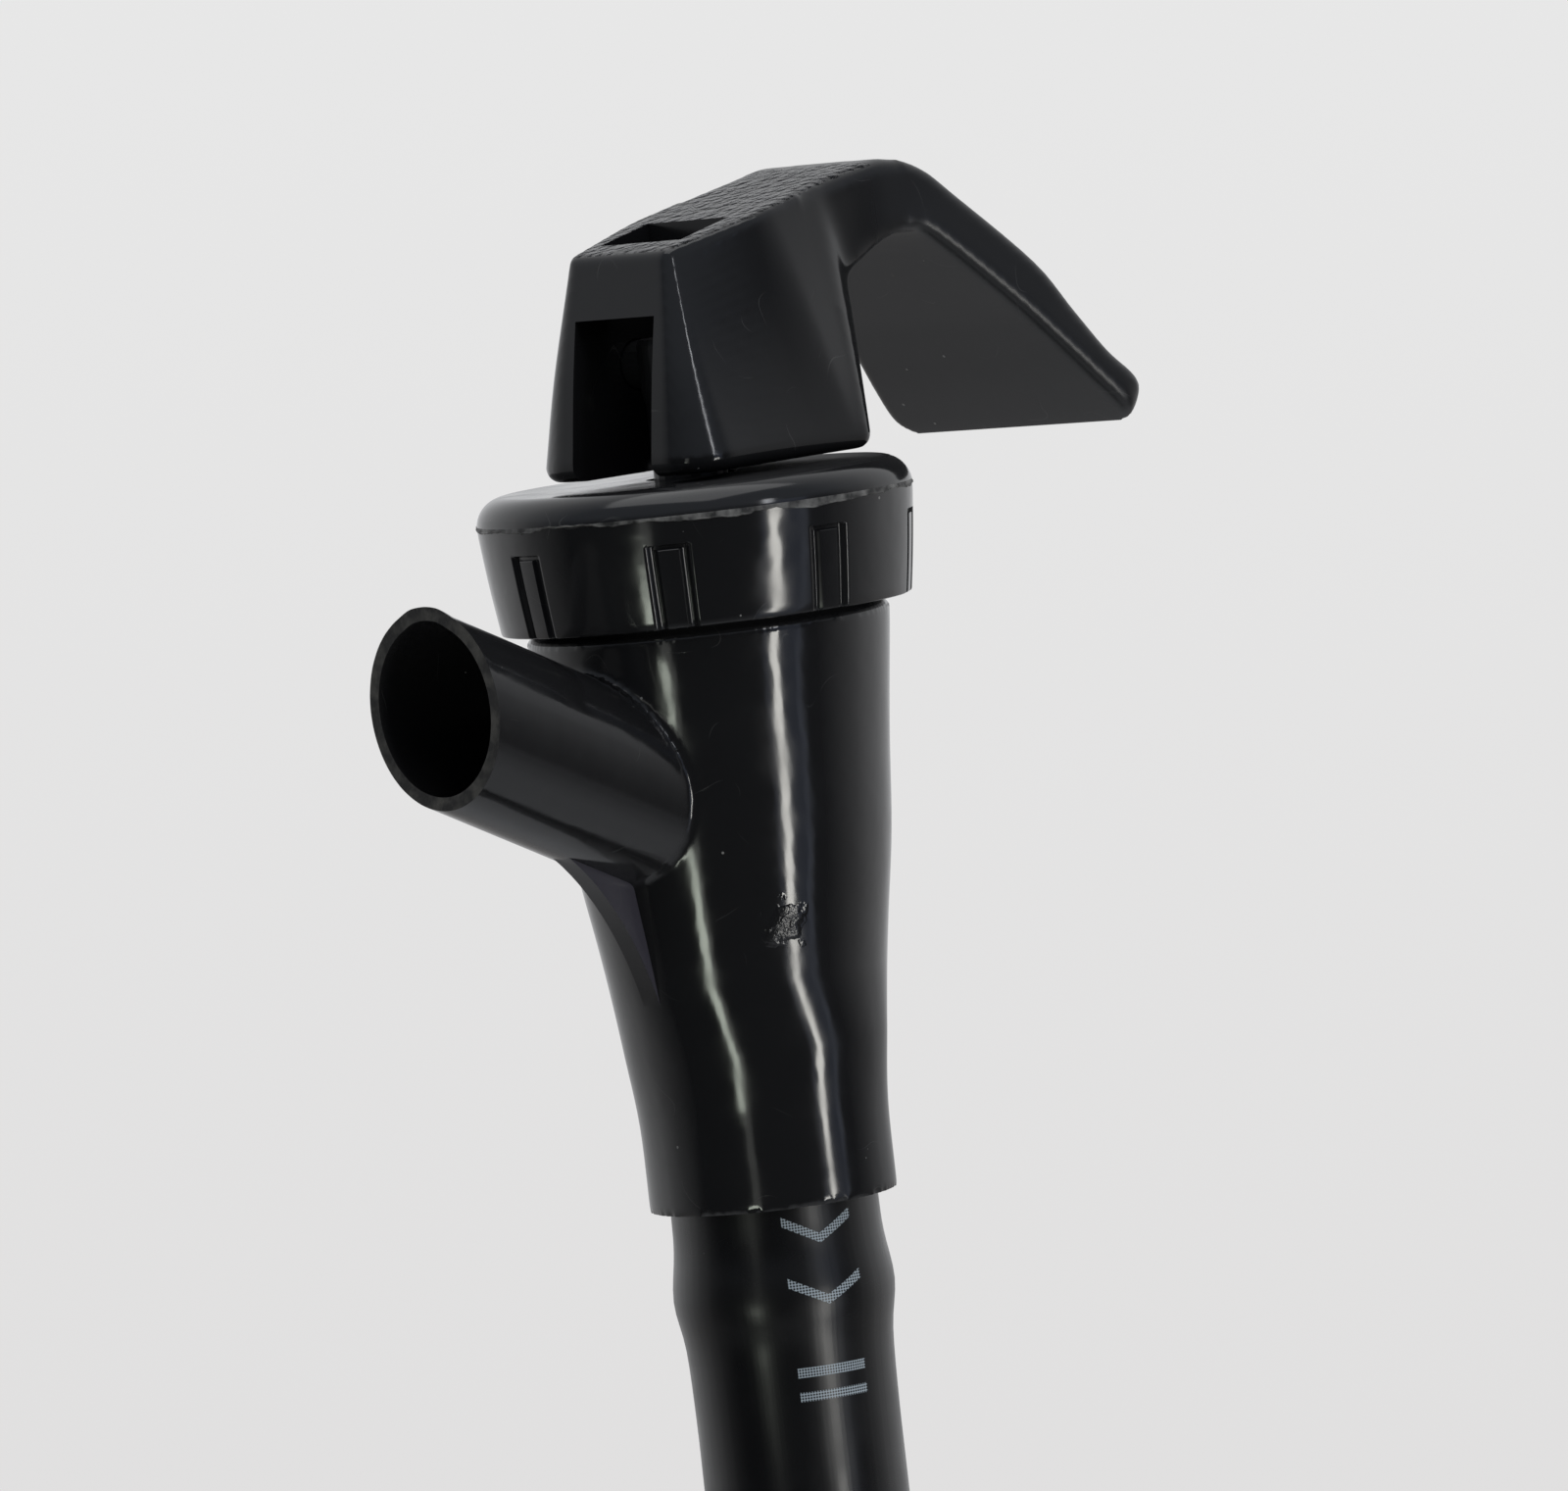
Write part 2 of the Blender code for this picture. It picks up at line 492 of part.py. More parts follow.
def make_end_fitting(parts, tools):
    """Barbed tailpiece, swivel nut, sealing washer and ear clamp at the hose's far end."""
    neck_r = 0.0062
    bore_r = 0.0032
    barb_r = HOSE_BORE_R - GAP
    outline = [
        (bore_r, TAIL_FOOT_Z + 0.0190), (barb_r - 0.0008, TAIL_FOOT_Z + 0.0190),
        (barb_r, TAIL_FOOT_Z + 0.0170), (barb_r, TAIL_FOOT_Z - GAP),
        (neck_r, TAIL_FOOT_Z - GAP), (neck_r, FLANGE_FOOT_Z + 0.0026),
        (FLANGE_R, FLANGE_FOOT_Z + 0.0026), (FLANGE_R, FLANGE_FOOT_Z), (bore_r, FLANGE_FOOT_Z),
    ]
    tailpiece = turned("tailpiece", parts, outline, SMALL_STEPS, closed=True)
    tailpiece.location = (COIL_SHIFT, 0.0, 0.0)
    finish(tailpiece, STEEL, 0.25, metallic=1.0)

    bm = bmesh.new()
    corner_r = NUT_FLAT / 2 / math.cos(math.radians(30))
    bmesh.ops.create_cone(bm, cap_ends=True, segments=6, radius1=corner_r, radius2=corner_r,
                          depth=NUT_HEIGHT)
    nut = add_mesh("swivel_nut", parts, bm)
    nut.data.transform(Matrix.Rotation(math.radians(90 - 60), 4, "Z"))
    nut.location = (COIL_SHIFT, 0.0, NUT_TOP_Z - NUT_HEIGHT / 2)
    roof = NUT_TOP_Z - 0.0042
    outline = [
        (0.0, NUT_TOP_Z + 0.001), (neck_r + 0.0004, NUT_TOP_Z + 0.001), (neck_r + 0.0004, roof),
        (NUT_BORE_R, roof), (NUT_BORE_R, NUT_TOP_Z - NUT_HEIGHT - 0.001),
        (0.0, NUT_TOP_Z - NUT_HEIGHT - 0.001),
    ]
    bore = turned("nut_cut", tools, outline, SMALL_STEPS, closed=False)
    bore.location = (COIL_SHIFT, 0.0, 0.0)
    combine(nut, bore, "DIFFERENCE")
    finish(nut, STEEL, 0.25, metallic=1.0)

    top = FLANGE_FOOT_Z - GAP
    outline = [(0.0042, top), (FLANGE_R, top), (FLANGE_R, top - 0.0020), (0.0042, top - 0.0020)]
    washer = turned("sealing_washer", parts, outline, SMALL_STEPS, closed=True)
    washer.location = (COIL_SHIFT, 0.0, 0.0)
    finish(washer, CLEAR_RUBBER, 0.5)

    # The clamp's ear stands up from its band, and its slot keeps the ear hollow.
    top = TAIL_FOOT_Z + 0.0125
    height = 0.0070
    inner = HOSE_R + GAP
    outline = [(inner + 0.0007, top), (inner + 0.0007, top - height), (inner, top - height),
               (inner, top)]
    clamp = turned("ear_clamp", parts, outline, 32, closed=True)
    clamp.location = (COIL_SHIFT, 0.0, 0.0)
    ear = block("clamp_ear", tools,
                (COIL_SHIFT - 0.0028, -inner - 0.0026, top - height),
                (COIL_SHIFT + 0.0028, -inner, top))
    combine(clamp, ear, "UNION")
    slot = block("ear_cut", tools,
                 (COIL_SHIFT - 0.0020, -inner - 0.0018, top - height - 0.001),
                 (COIL_SHIFT + 0.0020, -inner - 0.0008, top + 0.001))
    combine(clamp, slot, "DIFFERENCE")
    hose_room = cylinder("clamp_cut", tools, (COIL_SHIFT, 0, top - height - 0.001),
                         (COIL_SHIFT, 0, top + 0.001), inner, 32)
    combine(clamp, hose_room, "DIFFERENCE")
    finish(clamp, STEEL, 0.3, metallic=1.0)


def main():
    clear_scene()
    parts = new_collection("thumb_lever_hose_tap")
    tools = new_collection("cutters", hidden=True)
    make_tap_body(parts, tools)
    make_cap_nut(parts, tools)
    make_valve(parts, tools)
    make_lever(parts, tools)
    make_hose(parts, tools)
    make_end_fitting(parts, tools)


main()
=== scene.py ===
"""Looks of a hand-held drinks tap on its hose.

The tap is a gloss black moulding: a tapered body with a rising side spout, a screw cap and a
thumb lever. It stands on the end of a soft black hose, which hangs down, makes one stored turn
and ends in a plated swivel fitting. Metres, +Z up, the spout towards -Y and the paddle to +Y.
"""

import json
import logging
import math
import random
from dataclasses import dataclass
from enum import Enum
from functools import partial
from typing import Any, Callable, Optional, Sequence

import bpy
from bpy.types import Material, Node, NodeSocket, NodeTree, Object
from mathutils import Matrix, Vector, noise

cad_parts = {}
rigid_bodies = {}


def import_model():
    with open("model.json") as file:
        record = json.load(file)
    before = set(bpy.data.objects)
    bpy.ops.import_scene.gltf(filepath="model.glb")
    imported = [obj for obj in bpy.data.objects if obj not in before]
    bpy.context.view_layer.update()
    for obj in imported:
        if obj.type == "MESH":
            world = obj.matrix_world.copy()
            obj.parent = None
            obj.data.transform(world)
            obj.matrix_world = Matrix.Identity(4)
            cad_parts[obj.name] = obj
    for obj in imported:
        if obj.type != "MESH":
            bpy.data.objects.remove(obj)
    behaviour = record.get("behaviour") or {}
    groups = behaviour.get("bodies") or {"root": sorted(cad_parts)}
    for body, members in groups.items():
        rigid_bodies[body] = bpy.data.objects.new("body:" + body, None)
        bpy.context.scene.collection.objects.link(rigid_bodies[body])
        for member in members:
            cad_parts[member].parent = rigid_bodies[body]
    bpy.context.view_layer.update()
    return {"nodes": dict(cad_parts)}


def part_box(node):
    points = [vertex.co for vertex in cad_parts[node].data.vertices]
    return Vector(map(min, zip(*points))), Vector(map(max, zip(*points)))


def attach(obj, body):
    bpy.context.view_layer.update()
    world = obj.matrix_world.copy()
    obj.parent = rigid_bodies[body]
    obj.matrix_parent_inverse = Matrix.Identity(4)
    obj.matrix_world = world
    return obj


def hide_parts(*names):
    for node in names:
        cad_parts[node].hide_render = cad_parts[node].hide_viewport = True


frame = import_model()

LOG = logging.getLogger("drinks_tap")
MM = 0.001
MERGE = 0.000002                  # corners this close are one
Profile = Sequence[tuple[float, float]]
Ring = Sequence[Sequence[float]]


# ---------------------------------------------------------------- small tools


def linear(code: str) -> tuple[float, float, float, float]:
    """Turns an sRGB hex colour into a linear one.

    Args:
        code: Six hex digits after a hash, such as "#1a1a1c".

    Returns:
        Red, green, blue and an alpha of one.
    """
    parts = [int(code[k:k + 2], 16) / 255 for k in (1, 3, 5)]
    red, green, blue = (p / 12.92 if p <= 0.04045 else ((p + 0.055) / 1.055) ** 2.4 for p in parts)
    return red, green, blue, 1.0


def per_mm(size: float) -> float:
    """The texture scale that makes one cell or bump as wide as this many millimetres."""
    return 1.0 / (size * MM)


def smoothstep(low: float, high: float, value: float) -> float:
    """Rises softly from 0 at low to 1 at high."""
    t = min(max((value - low) / (high - low), 0.0), 1.0)
    return t * t * (3 - 2 * t)


def eased(points: Ring, steps: int) -> list[tuple[float, ...]]:
    """Finds a smooth curve through the given points.

    Args:
        points: Points with any number of coordinates.
        steps: Pieces between one point and the next.

    Returns:
        The points on the curve, the given ones among them.
    """
    known = [Vector(p) for p in points]
    known = [2 * known[0] - known[1], *known, 2 * known[-1] - known[-2]]
    found = []
    for a, b, c, d in zip(known, known[1:], known[2:], known[3:]):
        for k in range(steps):
            t = k / steps
            found.append(tuple(0.5 * (2 * b + (c - a) * t + (2 * a - 5 * b + 4 * c - d) * t * t
                                      + (3 * b - a - 3 * c + d) * t ** 3)))
    found.append(tuple(known[-2]))
    return found


def arc(centre: tuple[float, float], radius: float, first: float, last: float,
        steps: int) -> list[tuple[float, float]]:
    """Points on an arc between two angles in degrees."""
    angles = [math.radians(first + (last - first) * k / steps) for k in range(steps + 1)]
    return [(centre[0] + radius * math.cos(a), centre[1] + radius * math.sin(a)) for a in angles]


def slab(left: float, right: float, low: float, high: float, soft: float,
         steps: int) -> list[tuple[float, float]]:
    """A rectangle with rounded corners.

    Args:
        left: Its least x.
        right: Its greatest x.
        low: Its least y.
        high: Its greatest y.
        soft: The corners' radius.
        steps: Edges in each corner.

    Returns:
        Its corners, anticlockwise.
    """
    found = []
    for x, y, first in ((right - soft, low + soft, -90), (right - soft, high - soft, 0),
                        (left + soft, high - soft, 90), (left + soft, low + soft, 180)):
        found += arc((x, y), soft, first, first + 90, steps)
    return found


def release_all() -> None:
    """Leaves nothing selected, so that an operator acts only on what is added next."""
    for obj in bpy.context.view_layer.objects:
        obj.select_set(False)


def hold(*objects: Object) -> None:
    """Selects just these objects and makes the first one active."""
    release_all()
    for obj in objects:
        obj.select_set(True)
    bpy.context.view_layer.objects.active = objects[0]


def added(name: str) -> Object:
    """Names the object that an operator has just added, and returns it."""
    obj = bpy.context.object
    obj.name = name
    obj.data.name = name
    return obj


def settle(obj: Object) -> Object:
    """Moves an object's place into its mesh, so that its origin is the frame's."""
    hold(obj)
    bpy.ops.object.transform_apply(location=True, rotation=True, scale=True)
    return obj


def apply_modifiers(obj: Object) -> Object:
    """Applies all of an object's modifiers in order."""
    hold(obj)
    for modifier in list(obj.modifiers):
        bpy.ops.object.modifier_apply(modifier=modifier.name)
    return obj


def combine(obj: Object, tool: Object, operation: str = "DIFFERENCE") -> Object:
    """Cuts an object with a tool or joins the tool to it, and removes the tool.

    Args:
        obj: The piece that is kept.
        tool: A closed solid.
        operation: DIFFERENCE, UNION or INTERSECT.

    Returns:
        The piece.
    """
    boolean = obj.modifiers.new(tool.name, "BOOLEAN")
    boolean.operation = operation
    boolean.object = tool
    apply_modifiers(obj)
    bpy.data.objects.remove(tool)
    return obj


def melted(obj: Object, others: Sequence[Object], voxel: float, rounds: int) -> Object:
    """Melts overlapping solids into one moulding with soft edges and filled corners.

    Args:
        obj: The solid that is kept.
        others: Solids that are joined to it.
        voxel: The mesh width of the result.
        rounds: How often the surface is evened out, which rounds its edges.

    Returns:
        The moulding.
    """
    hold(obj, *others)
    if others:
        bpy.ops.object.join()
    remesh = obj.modifiers.new("Melt", "REMESH")
    remesh.mode = "VOXEL"
    remesh.voxel_size = voxel
    even = obj.modifiers.new("Even", "SMOOTH")
    even.factor = 0.5
    even.iterations = rounds
    return apply_modifiers(obj)


def drawn(name: str, points: Ring, closed: bool) -> Object:
    """Draws a line by extruding one corner from point to point.

    Args:
        name: The line's name.
        points: The points, in order.
        closed: True where the line comes back to its first point.

    Returns:
        The line, in edit mode.
    """
    release_all()
    bpy.ops.mesh.primitive_plane_add(size=MERGE)
    obj = added(name)
    bpy.ops.object.mode_set(mode="EDIT")
    bpy.ops.mesh.select_all(action="SELECT")
    bpy.ops.mesh.merge(type="CENTER")
    bpy.ops.transform.translate(value=points[0])
    stops = [Vector(p) for p in points] + ([Vector(points[0])] if closed else [])
    for here, there in zip(stops, stops[1:]):
        bpy.ops.mesh.extrude_vertices_move(TRANSFORM_OT_translate={"value": there - here})
    bpy.ops.mesh.select_all(action="SELECT")
    if closed:
        bpy.ops.mesh.remove_doubles(threshold=MERGE)
    return obj


def turned(name: str, profile: Profile, steps: int, centre: Sequence[float] = (0.0, 0.0, 0.0),
           closed: bool = True) -> Object:
    """Turns a piece on an upright axis.

    Args:
        name: The piece's name.
        profile: Radius and height of each corner.
        steps: Sides of the turned piece.
        centre: A point on the axis.
        closed: True where the profile is a loop, False where it runs from axis to axis.

    Returns:
        The turned solid.
    """
    x, y, z = centre
    obj = drawn(name, [(x + radius, y, z + height) for radius, height in profile], closed)
    bpy.ops.mesh.spin(steps=steps, angle=2 * math.pi, center=centre, axis=(0, 0, 1))
    bpy.ops.mesh.select_all(action="SELECT")
    bpy.ops.mesh.remove_doubles(threshold=MERGE)
    bpy.ops.mesh.normals_make_consistent(inside=False)
    bpy.ops.object.mode_set(mode="OBJECT")
    return obj


def plate(name: str, outline: Ring, thickness: Sequence[float]) -> Object:
    """Makes a flat solid.

    Args:
        name: The piece's name.
        outline: Its middle plane's outline.
        thickness: Its thickness and direction, as a vector.

    Returns:
        The solid.
    """
    half = Vector(thickness) / 2
    obj = drawn(name, [Vector(p) - half for p in outline], closed=True)
    bpy.ops.mesh.edge_face_add()
    bpy.ops.mesh.extrude_region_move(TRANSFORM_OT_translate={"value": thickness})
    bpy.ops.mesh.select_all(action="SELECT")
    bpy.ops.mesh.normals_make_consistent(inside=False)
    bpy.ops.object.mode_set(mode="OBJECT")
    return obj


def wrapped(name: str, rings: Sequence[Ring]) -> Object:
    """Wraps a grid round a row of rings, and closes it at its seam and at its open ends.

    Args:
        name: The piece's name.
        rings: Rings with the same number of corners. The last may be the first again.

    Returns:
        A closed piece. Its UV map runs once round each ring, and once from ring to ring.
    """
    release_all()
    around, along = len(rings[0]), len(rings) - 1
    bpy.ops.mesh.primitive_grid_add(x_subdivisions=around, y_subdivisions=along, size=1.0)
    obj = added(name)
    for index, corner in enumerate(obj.data.vertices):
        corner.co = rings[index // (around + 1)][index % (around + 1) % around]
    bpy.ops.object.mode_set(mode="EDIT")
    bpy.ops.mesh.select_all(action="SELECT")
    bpy.ops.mesh.remove_doubles(threshold=MERGE)
    bpy.ops.mesh.select_all(action="DESELECT")
    bpy.ops.mesh.select_mode(type="EDGE")
    bpy.ops.mesh.select_non_manifold()
    bpy.ops.mesh.fill_holes(sides=0)
    bpy.ops.mesh.select_mode(type="VERT")
    bpy.ops.mesh.select_all(action="SELECT")
    bpy.ops.mesh.normals_make_consistent(inside=False)
    bpy.ops.object.mode_set(mode="OBJECT")
    return obj


def box(name: str, low: Sequence[float], high: Sequence[float]) -> Object:
    """Makes a cutter with square edges.

    Args:
        name: The cutter's name.
        low: Its lowest corner.
        high: Its highest corner.

    Returns:
        The cutter.
    """
    release_all()
    middle = (Vector(low) + Vector(high)) / 2
    bpy.ops.mesh.primitive_cube_add(size=1.0, location=middle)
    obj = added(name)
    obj.scale = Vector(high) - Vector(low)
    return settle(obj)


def rod(name: str, start: Sequence[float], end: Sequence[float], radius: float,
        sides: int) -> Object:
    """Makes a straight round solid.

    Args:
        name: The piece's name.
        start: The middle of one end.
        end: The middle of the other.
        radius: Its radius.
        sides: Its sides.

    Returns:
        The solid.
    """
    release_all()
    start, end = Vector(start), Vector(end)
    bpy.ops.mesh.primitive_cylinder_add(
        vertices=sides, radius=radius, depth=(end - start).length, location=(start + end) / 2,
        rotation=(end - start).to_track_quat("Z", "Y").to_euler())
    return settle(added(name))


def dress(obj: Object, finishes: Sequence[Any], chooser: Optional[Callable] = None) -> None:
    """Gives a piece its materials.

    Args:
        obj: The piece.
        finishes: The main finish first.
        chooser: Says which finish a face takes, from its centre and its normal.
    """
    obj.data.materials.clear()
    for finish in finishes:
        obj.data.materials.append(finish.material())
    if chooser:
        for face in obj.data.polygons:
            face.material_index = chooser(face.center, face.normal)


def finished(obj: Object, body: str, nodes: Sequence[str], angle: float,
             finishes: Sequence[Any], chooser: Optional[Callable] = None) -> Object:
    """Shades and dresses a piece and hands it over to the frame.

    Args:
        obj: The piece.
        body: The body that it rides on.
        nodes: The nodes that it stands for.
        angle: Faces that meet at less than this many degrees are shaded as one.
        finishes: The main finish first.
        chooser: Says which finish a face takes, from its centre and its normal.

    Returns:
        The piece.
    """
    hold(obj)
    bpy.ops.object.shade_smooth_by_angle(angle=math.radians(angle))
    dress(obj, finishes, chooser)
    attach(obj, body)
    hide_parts(*nodes)
    LOG.info("%s: %d faces", obj.name, len(obj.data.polygons))
    return obj


# ------------------------------------------------------------------ finishes


def feed(node: Node, feeds: dict) -> None:
    """Sets and links a node's inputs.

    Args:
        node: The node.
        feeds: Input name or number, with a value or with the output socket that drives it.
    """
    for key, value in feeds.items():
        if isinstance(value, NodeSocket):
            node.id_data.links.new(value, node.inputs[key])
        else:
            node.inputs[key].default_value = value


def add_node(tree: NodeTree, kind: str, feeds: Optional[dict] = None, out: Any = 0,
             **settings: Any) -> Optional[NodeSocket]:
    """Adds a node with its settings, its values and its links.

    Args:
        tree: The tree that gets the node.
        kind: The node's type name after "ShaderNode".
        feeds: Input name or number, with a value or with the output socket that drives it.
        out: Name or number of the output that is wanted.
        **settings: Properties of the node.

    Returns:
        The output socket, or None from a node that has no output.
    """
    node = tree.nodes.new("ShaderNode" + kind)
    for key, value in settings.items():
        setattr(node, key, value)
    feed(node, feeds or {})
    return node.outputs[out] if node.outputs else None


def blank(name: str) -> tuple[Material, Callable, Node, NodeSocket]:
    """Starts a material.

    Args:
        name: The material's name.

    Returns:
        The material, add_node for its tree, its Principled shader and its Object coordinates.
    """
    material = bpy.data.materials.new(name)
    material.use_nodes = True
    add = partial(add_node, material.node_tree)
    return material, add, material.node_tree.nodes["Principled BSDF"], add("TexCoord", out="Object")


def shaded(add: Callable, value: Any, low: float, high: float, first: Any, last: Any) -> NodeSocket:
    """Turns from one colour to another as a value rises.

    Args:
        add: Adds a node to the material.
        value: What the colour depends on.
        low: Where the first colour ends.
        high: Where the last colour begins.
        first: Linear colour, or a socket.
        last: Linear colour, or a socket.

    Returns:
        The colour.
    """
    share = add("MapRange", {0: value, 1: low, 2: high})
    return add("Mix", {0: share, 6: first, 7: last}, 2, data_type="RGBA")


def specks(add: Callable, place: NodeSocket, spacing: float, bare: float,
           size: float) -> NodeSocket:
    """Scatters dust in single specks.

    Args:
        add: Adds a node to the material.
        place: Object coordinates.
        spacing: Millimetres from speck to speck, if none were missing.
        bare: Share of the specks that are missing.
        size: The largest speck's radius, in spacings.

    Returns:
        One on a speck and zero elsewhere.
    """
    reach = add("TexVoronoi", {"Vector": place, "Scale": per_mm(spacing)})
    chance = add("SeparateColor", {0: reach.node.outputs["Color"]})
    limit = add("MapRange", {0: chance, 1: bare, 2: 1.0, 3: 0.0, 4: size})
    return add("Math", {0: reach, 1: limit}, operation="LESS_THAN")


class Spread(Enum):
    """How little dust has settled on a surface: the share of its specks that are missing."""

    CLEAN = 0.93
    LIGHT = 0.66


@dataclass(frozen=True)
class MouldedAbs:
    """Injection-moulded ABS from a polished mould: deep black, with soft waves in its gloss,
    hair scratches from handling and pale specks of dust.

    Fields are the colour, the roughness, the height of the waves in millimetres, the dust, the
    middle of the rough spot that the gate left, where there is one, how much the wall sags
    to one side below it, how strongly the surface shines, and whether thumbs have rubbed it to
    a satin from the neck outwards.
    """

    name: str
    colour: str = "#212122"
    roughness: float = 0.10
    waves: float = 0.045
    dust: Spread = Spread.LIGHT
    gate: Optional[tuple[float, float, float]] = None
    sag: float = 0.0
    shine: float = 0.5
    thumbed: bool = False

    def material(self) -> Material:
        """Builds the material."""
        made, add, shader, place = blank(self.name)
        dust = specks(add, place, 1.5, self.dust.value, 0.085)

        # Scratches are short stretches of the contour lines of a slow noise.
        bend = add("TexNoise", {"Vector": place, "Scale": per_mm(7.0), "Detail": 1.0})
        worn = add("TexNoise", {"Vector": place, "Scale": per_mm(2.4), "Detail": 0.0})
        thin = add("Math", {0: bend, 1: 0.5, 2: 0.0016}, operation="COMPARE")
        depth = add("MapRange", {0: worn, 1: 0.58, 2: 0.72, 4: 0.12})
        scratch = add("Math", {0: thin, 1: depth}, operation="MULTIPLY")
        mark = add("Math", {0: dust, 1: scratch}, operation="MAXIMUM")
        colour = shaded(add, mark, 0.0, 1.0, linear(self.colour), linear("#8c8b88"))

        smear = add("TexNoise", {"Vector": place, "Scale": per_mm(4.0), "Detail": 3.0})
        gloss = add("MapRange", {0: smear, 1: 0.40, 2: 0.75, 3: self.roughness,
                                 4: self.roughness + 0.09})
        dull = add("Math", {0: mark, 1: 0.6}, operation="MULTIPLY")
        gloss = add("Math", {0: gloss, 1: dull}, operation="MAXIMUM")
        if self.thumbed:
            outward = add("SeparateXYZ", {0: place}, "Y")
            satin = add("MapRange", {0: outward, 1: 9 * MM, 2: 16 * MM, 4: 0.34})
            gloss = add("Math", {0: gloss, 1: satin}, operation="MAXIMUM")

        # Below the gate the wall sags to one side, which turns its highlights by some degrees.
        normal = add("NewGeometry", out="Normal")
        if self.sag:
            height = add("SeparateXYZ", {0: place}, "Z")
            sunk = add("MapRange", {0: height, 1: 16 * MM, 2: 11 * MM, 4: self.sag})
            lean = add("VectorMath", {0: (-0.34, -0.94, 0.0), "Scale": sunk}, operation="SCALE")
            normal = add("VectorMath", {0: normal, 1: lean}, operation="ADD")
            normal = add("VectorMath", {0: normal}, operation="NORMALIZE")

        wave = add("TexNoise", {"Vector": place, "Scale": per_mm(4.5), "Detail": 2.0})
        skin = add("TexNoise", {"Vector": place, "Scale": per_mm(0.35), "Detail": 2.0})
        for height, depth, strength in ((wave, self.waves, 1.0), (skin, 0.0006, 1.0),
                                        (mark, 0.02, 0.5)):
            normal = add("Bump", {"Height": height, "Distance": depth * MM, "Strength": strength,
                                  "Normal": normal})
        if self.gate:
            normal, gloss = self.scarred(add, place, normal, gloss)
        feed(shader, {"Base Color": colour, "Roughness": gloss, "Normal": normal,
                      "Specular IOR Level": self.shine})
        return made

    def scarred(self, add: Callable, place: NodeSocket, normal: NodeSocket,
                gloss: NodeSocket) -> tuple[NodeSocket, NodeSocket]:
        """Adds the torn spot of the gate, 3 mm across.

        Args:
            add: Adds a node to the material.
            place: Object coordinates.
            normal: The bump that lies under it.
            gloss: The roughness that lies round it.

        Returns:
            The new bump and the new roughness.
        """
        wobble = add("TexNoise", {"Vector": place, "Scale": per_mm(1.6), "Detail": 3.0})
        reach = add("VectorMath", {0: place, 1: self.gate}, 1, operation="DISTANCE")
        reach = add("Math", {0: wobble, 1: 4.0 * MM, 2: reach}, operation="MULTIPLY_ADD")
        inside = add("MapRange", {0: reach, 1: 2.6 * MM, 2: 3.6 * MM, 3: 1.0, 4: 0.0})
        torn = add("TexNoise", {"Vector": place, "Scale": per_mm(0.8), "Detail": 4.0})
        height = add("Math", {0: torn, 1: inside}, operation="MULTIPLY")
        bump = add("Bump", {"Height": height, "Distance": 0.20 * MM, "Normal": normal})
        return bump, add("Math", {0: inside, 1: 0.05, 2: gloss}, operation="MULTIPLY_ADD")


@dataclass(frozen=True)
class PebbledAbs:
    """The same ABS from an etched mould: flat pebbles under a millimetre across, with a painted
    sheen on their middles and painted shade in the darker joints, for the light they scatter."""

    name: str
    # The pale pebble colour is a painted sheen, and the dark joint colour is painted shade.
    colour: str = "#4a4a4c"
    joint: str = "#161618"
    pebble: float = 0.80

    def material(self) -> Material:
        """Builds the material."""
        made, add, shader, place = blank(self.name)
        cells = add("TexVoronoi", {"Vector": place, "Scale": per_mm(self.pebble)})
        grain = add("TexNoise", {"Vector": place, "Scale": per_mm(0.3), "Detail": 3.0})
        grain = add("Math", {0: grain, 1: 0.5}, operation="MULTIPLY")
        height = add("Math", {0: grain, 1: cells}, operation="SUBTRACT")
        bump = add("Bump", {"Height": height, "Distance": 1.15 * MM})
        # Pebble middles take the painted sheen and their edges the painted shade.
        colour = shaded(add, cells, 0.22, 0.55, linear(self.colour), linear(self.joint))
        feed(shader, {"Base Color": colour, "Roughness": 0.24, "Normal": bump})
        return made


@dataclass(frozen=True)
class DullSurface:
    """A surface that scatters the light: clouds of two tones under a fine grain.

    Fields are the two tones, the roughness, the clouds' width in millimetres with the span of
    noise over which the tones change, and the grain's width, its detail and its depth.
    """

    name: str
    dark: str = "#1d1d1e"
    pale: str = "#2b2b2c"
    roughness: float = 0.62
    clouds: tuple[float, float, float] = (3.0, 0.35, 0.70)
    grain: tuple[float, float, float] = (0.25, 3.0, 0.015)

    def material(self) -> Material:
        """Builds the material."""
        made, add, shader, place = blank(self.name)
        width, low, high = self.clouds
        pitch, detail, depth = self.grain
        tone = add("TexNoise", {"Vector": place, "Scale": per_mm(width), "Detail": 4.0})
        grain = add("TexNoise", {"Vector": place, "Scale": per_mm(pitch), "Detail": detail})
        colour = shaded(add, tone, low, high, linear(self.dark), linear(self.pale))
        bump = add("Bump", {"Height": grain, "Distance": depth * MM})
        feed(shader, {"Base Color": colour, "Roughness": self.roughness, "Normal": bump})
        return made


@dataclass(frozen=True)
class MouldedRubber(DullSurface):
    """Moulded elastomer: dull, with a fine powdery grain and slightly uneven tone."""


@dataclass(frozen=True)
class TornAbs(DullSurface):
    """ABS where it was cut or squeezed out of the mould's seam: dull, stress-whitened and
    uneven in tone."""

    dark: str = "#1c1b1a"
    pale: str = "#4b4944"
    roughness: float = 0.55
    clouds: tuple[float, float, float] = (1.1, 0.40, 0.66)
    grain: tuple[float, float, float] = (0.18, 2.0, 0.03)


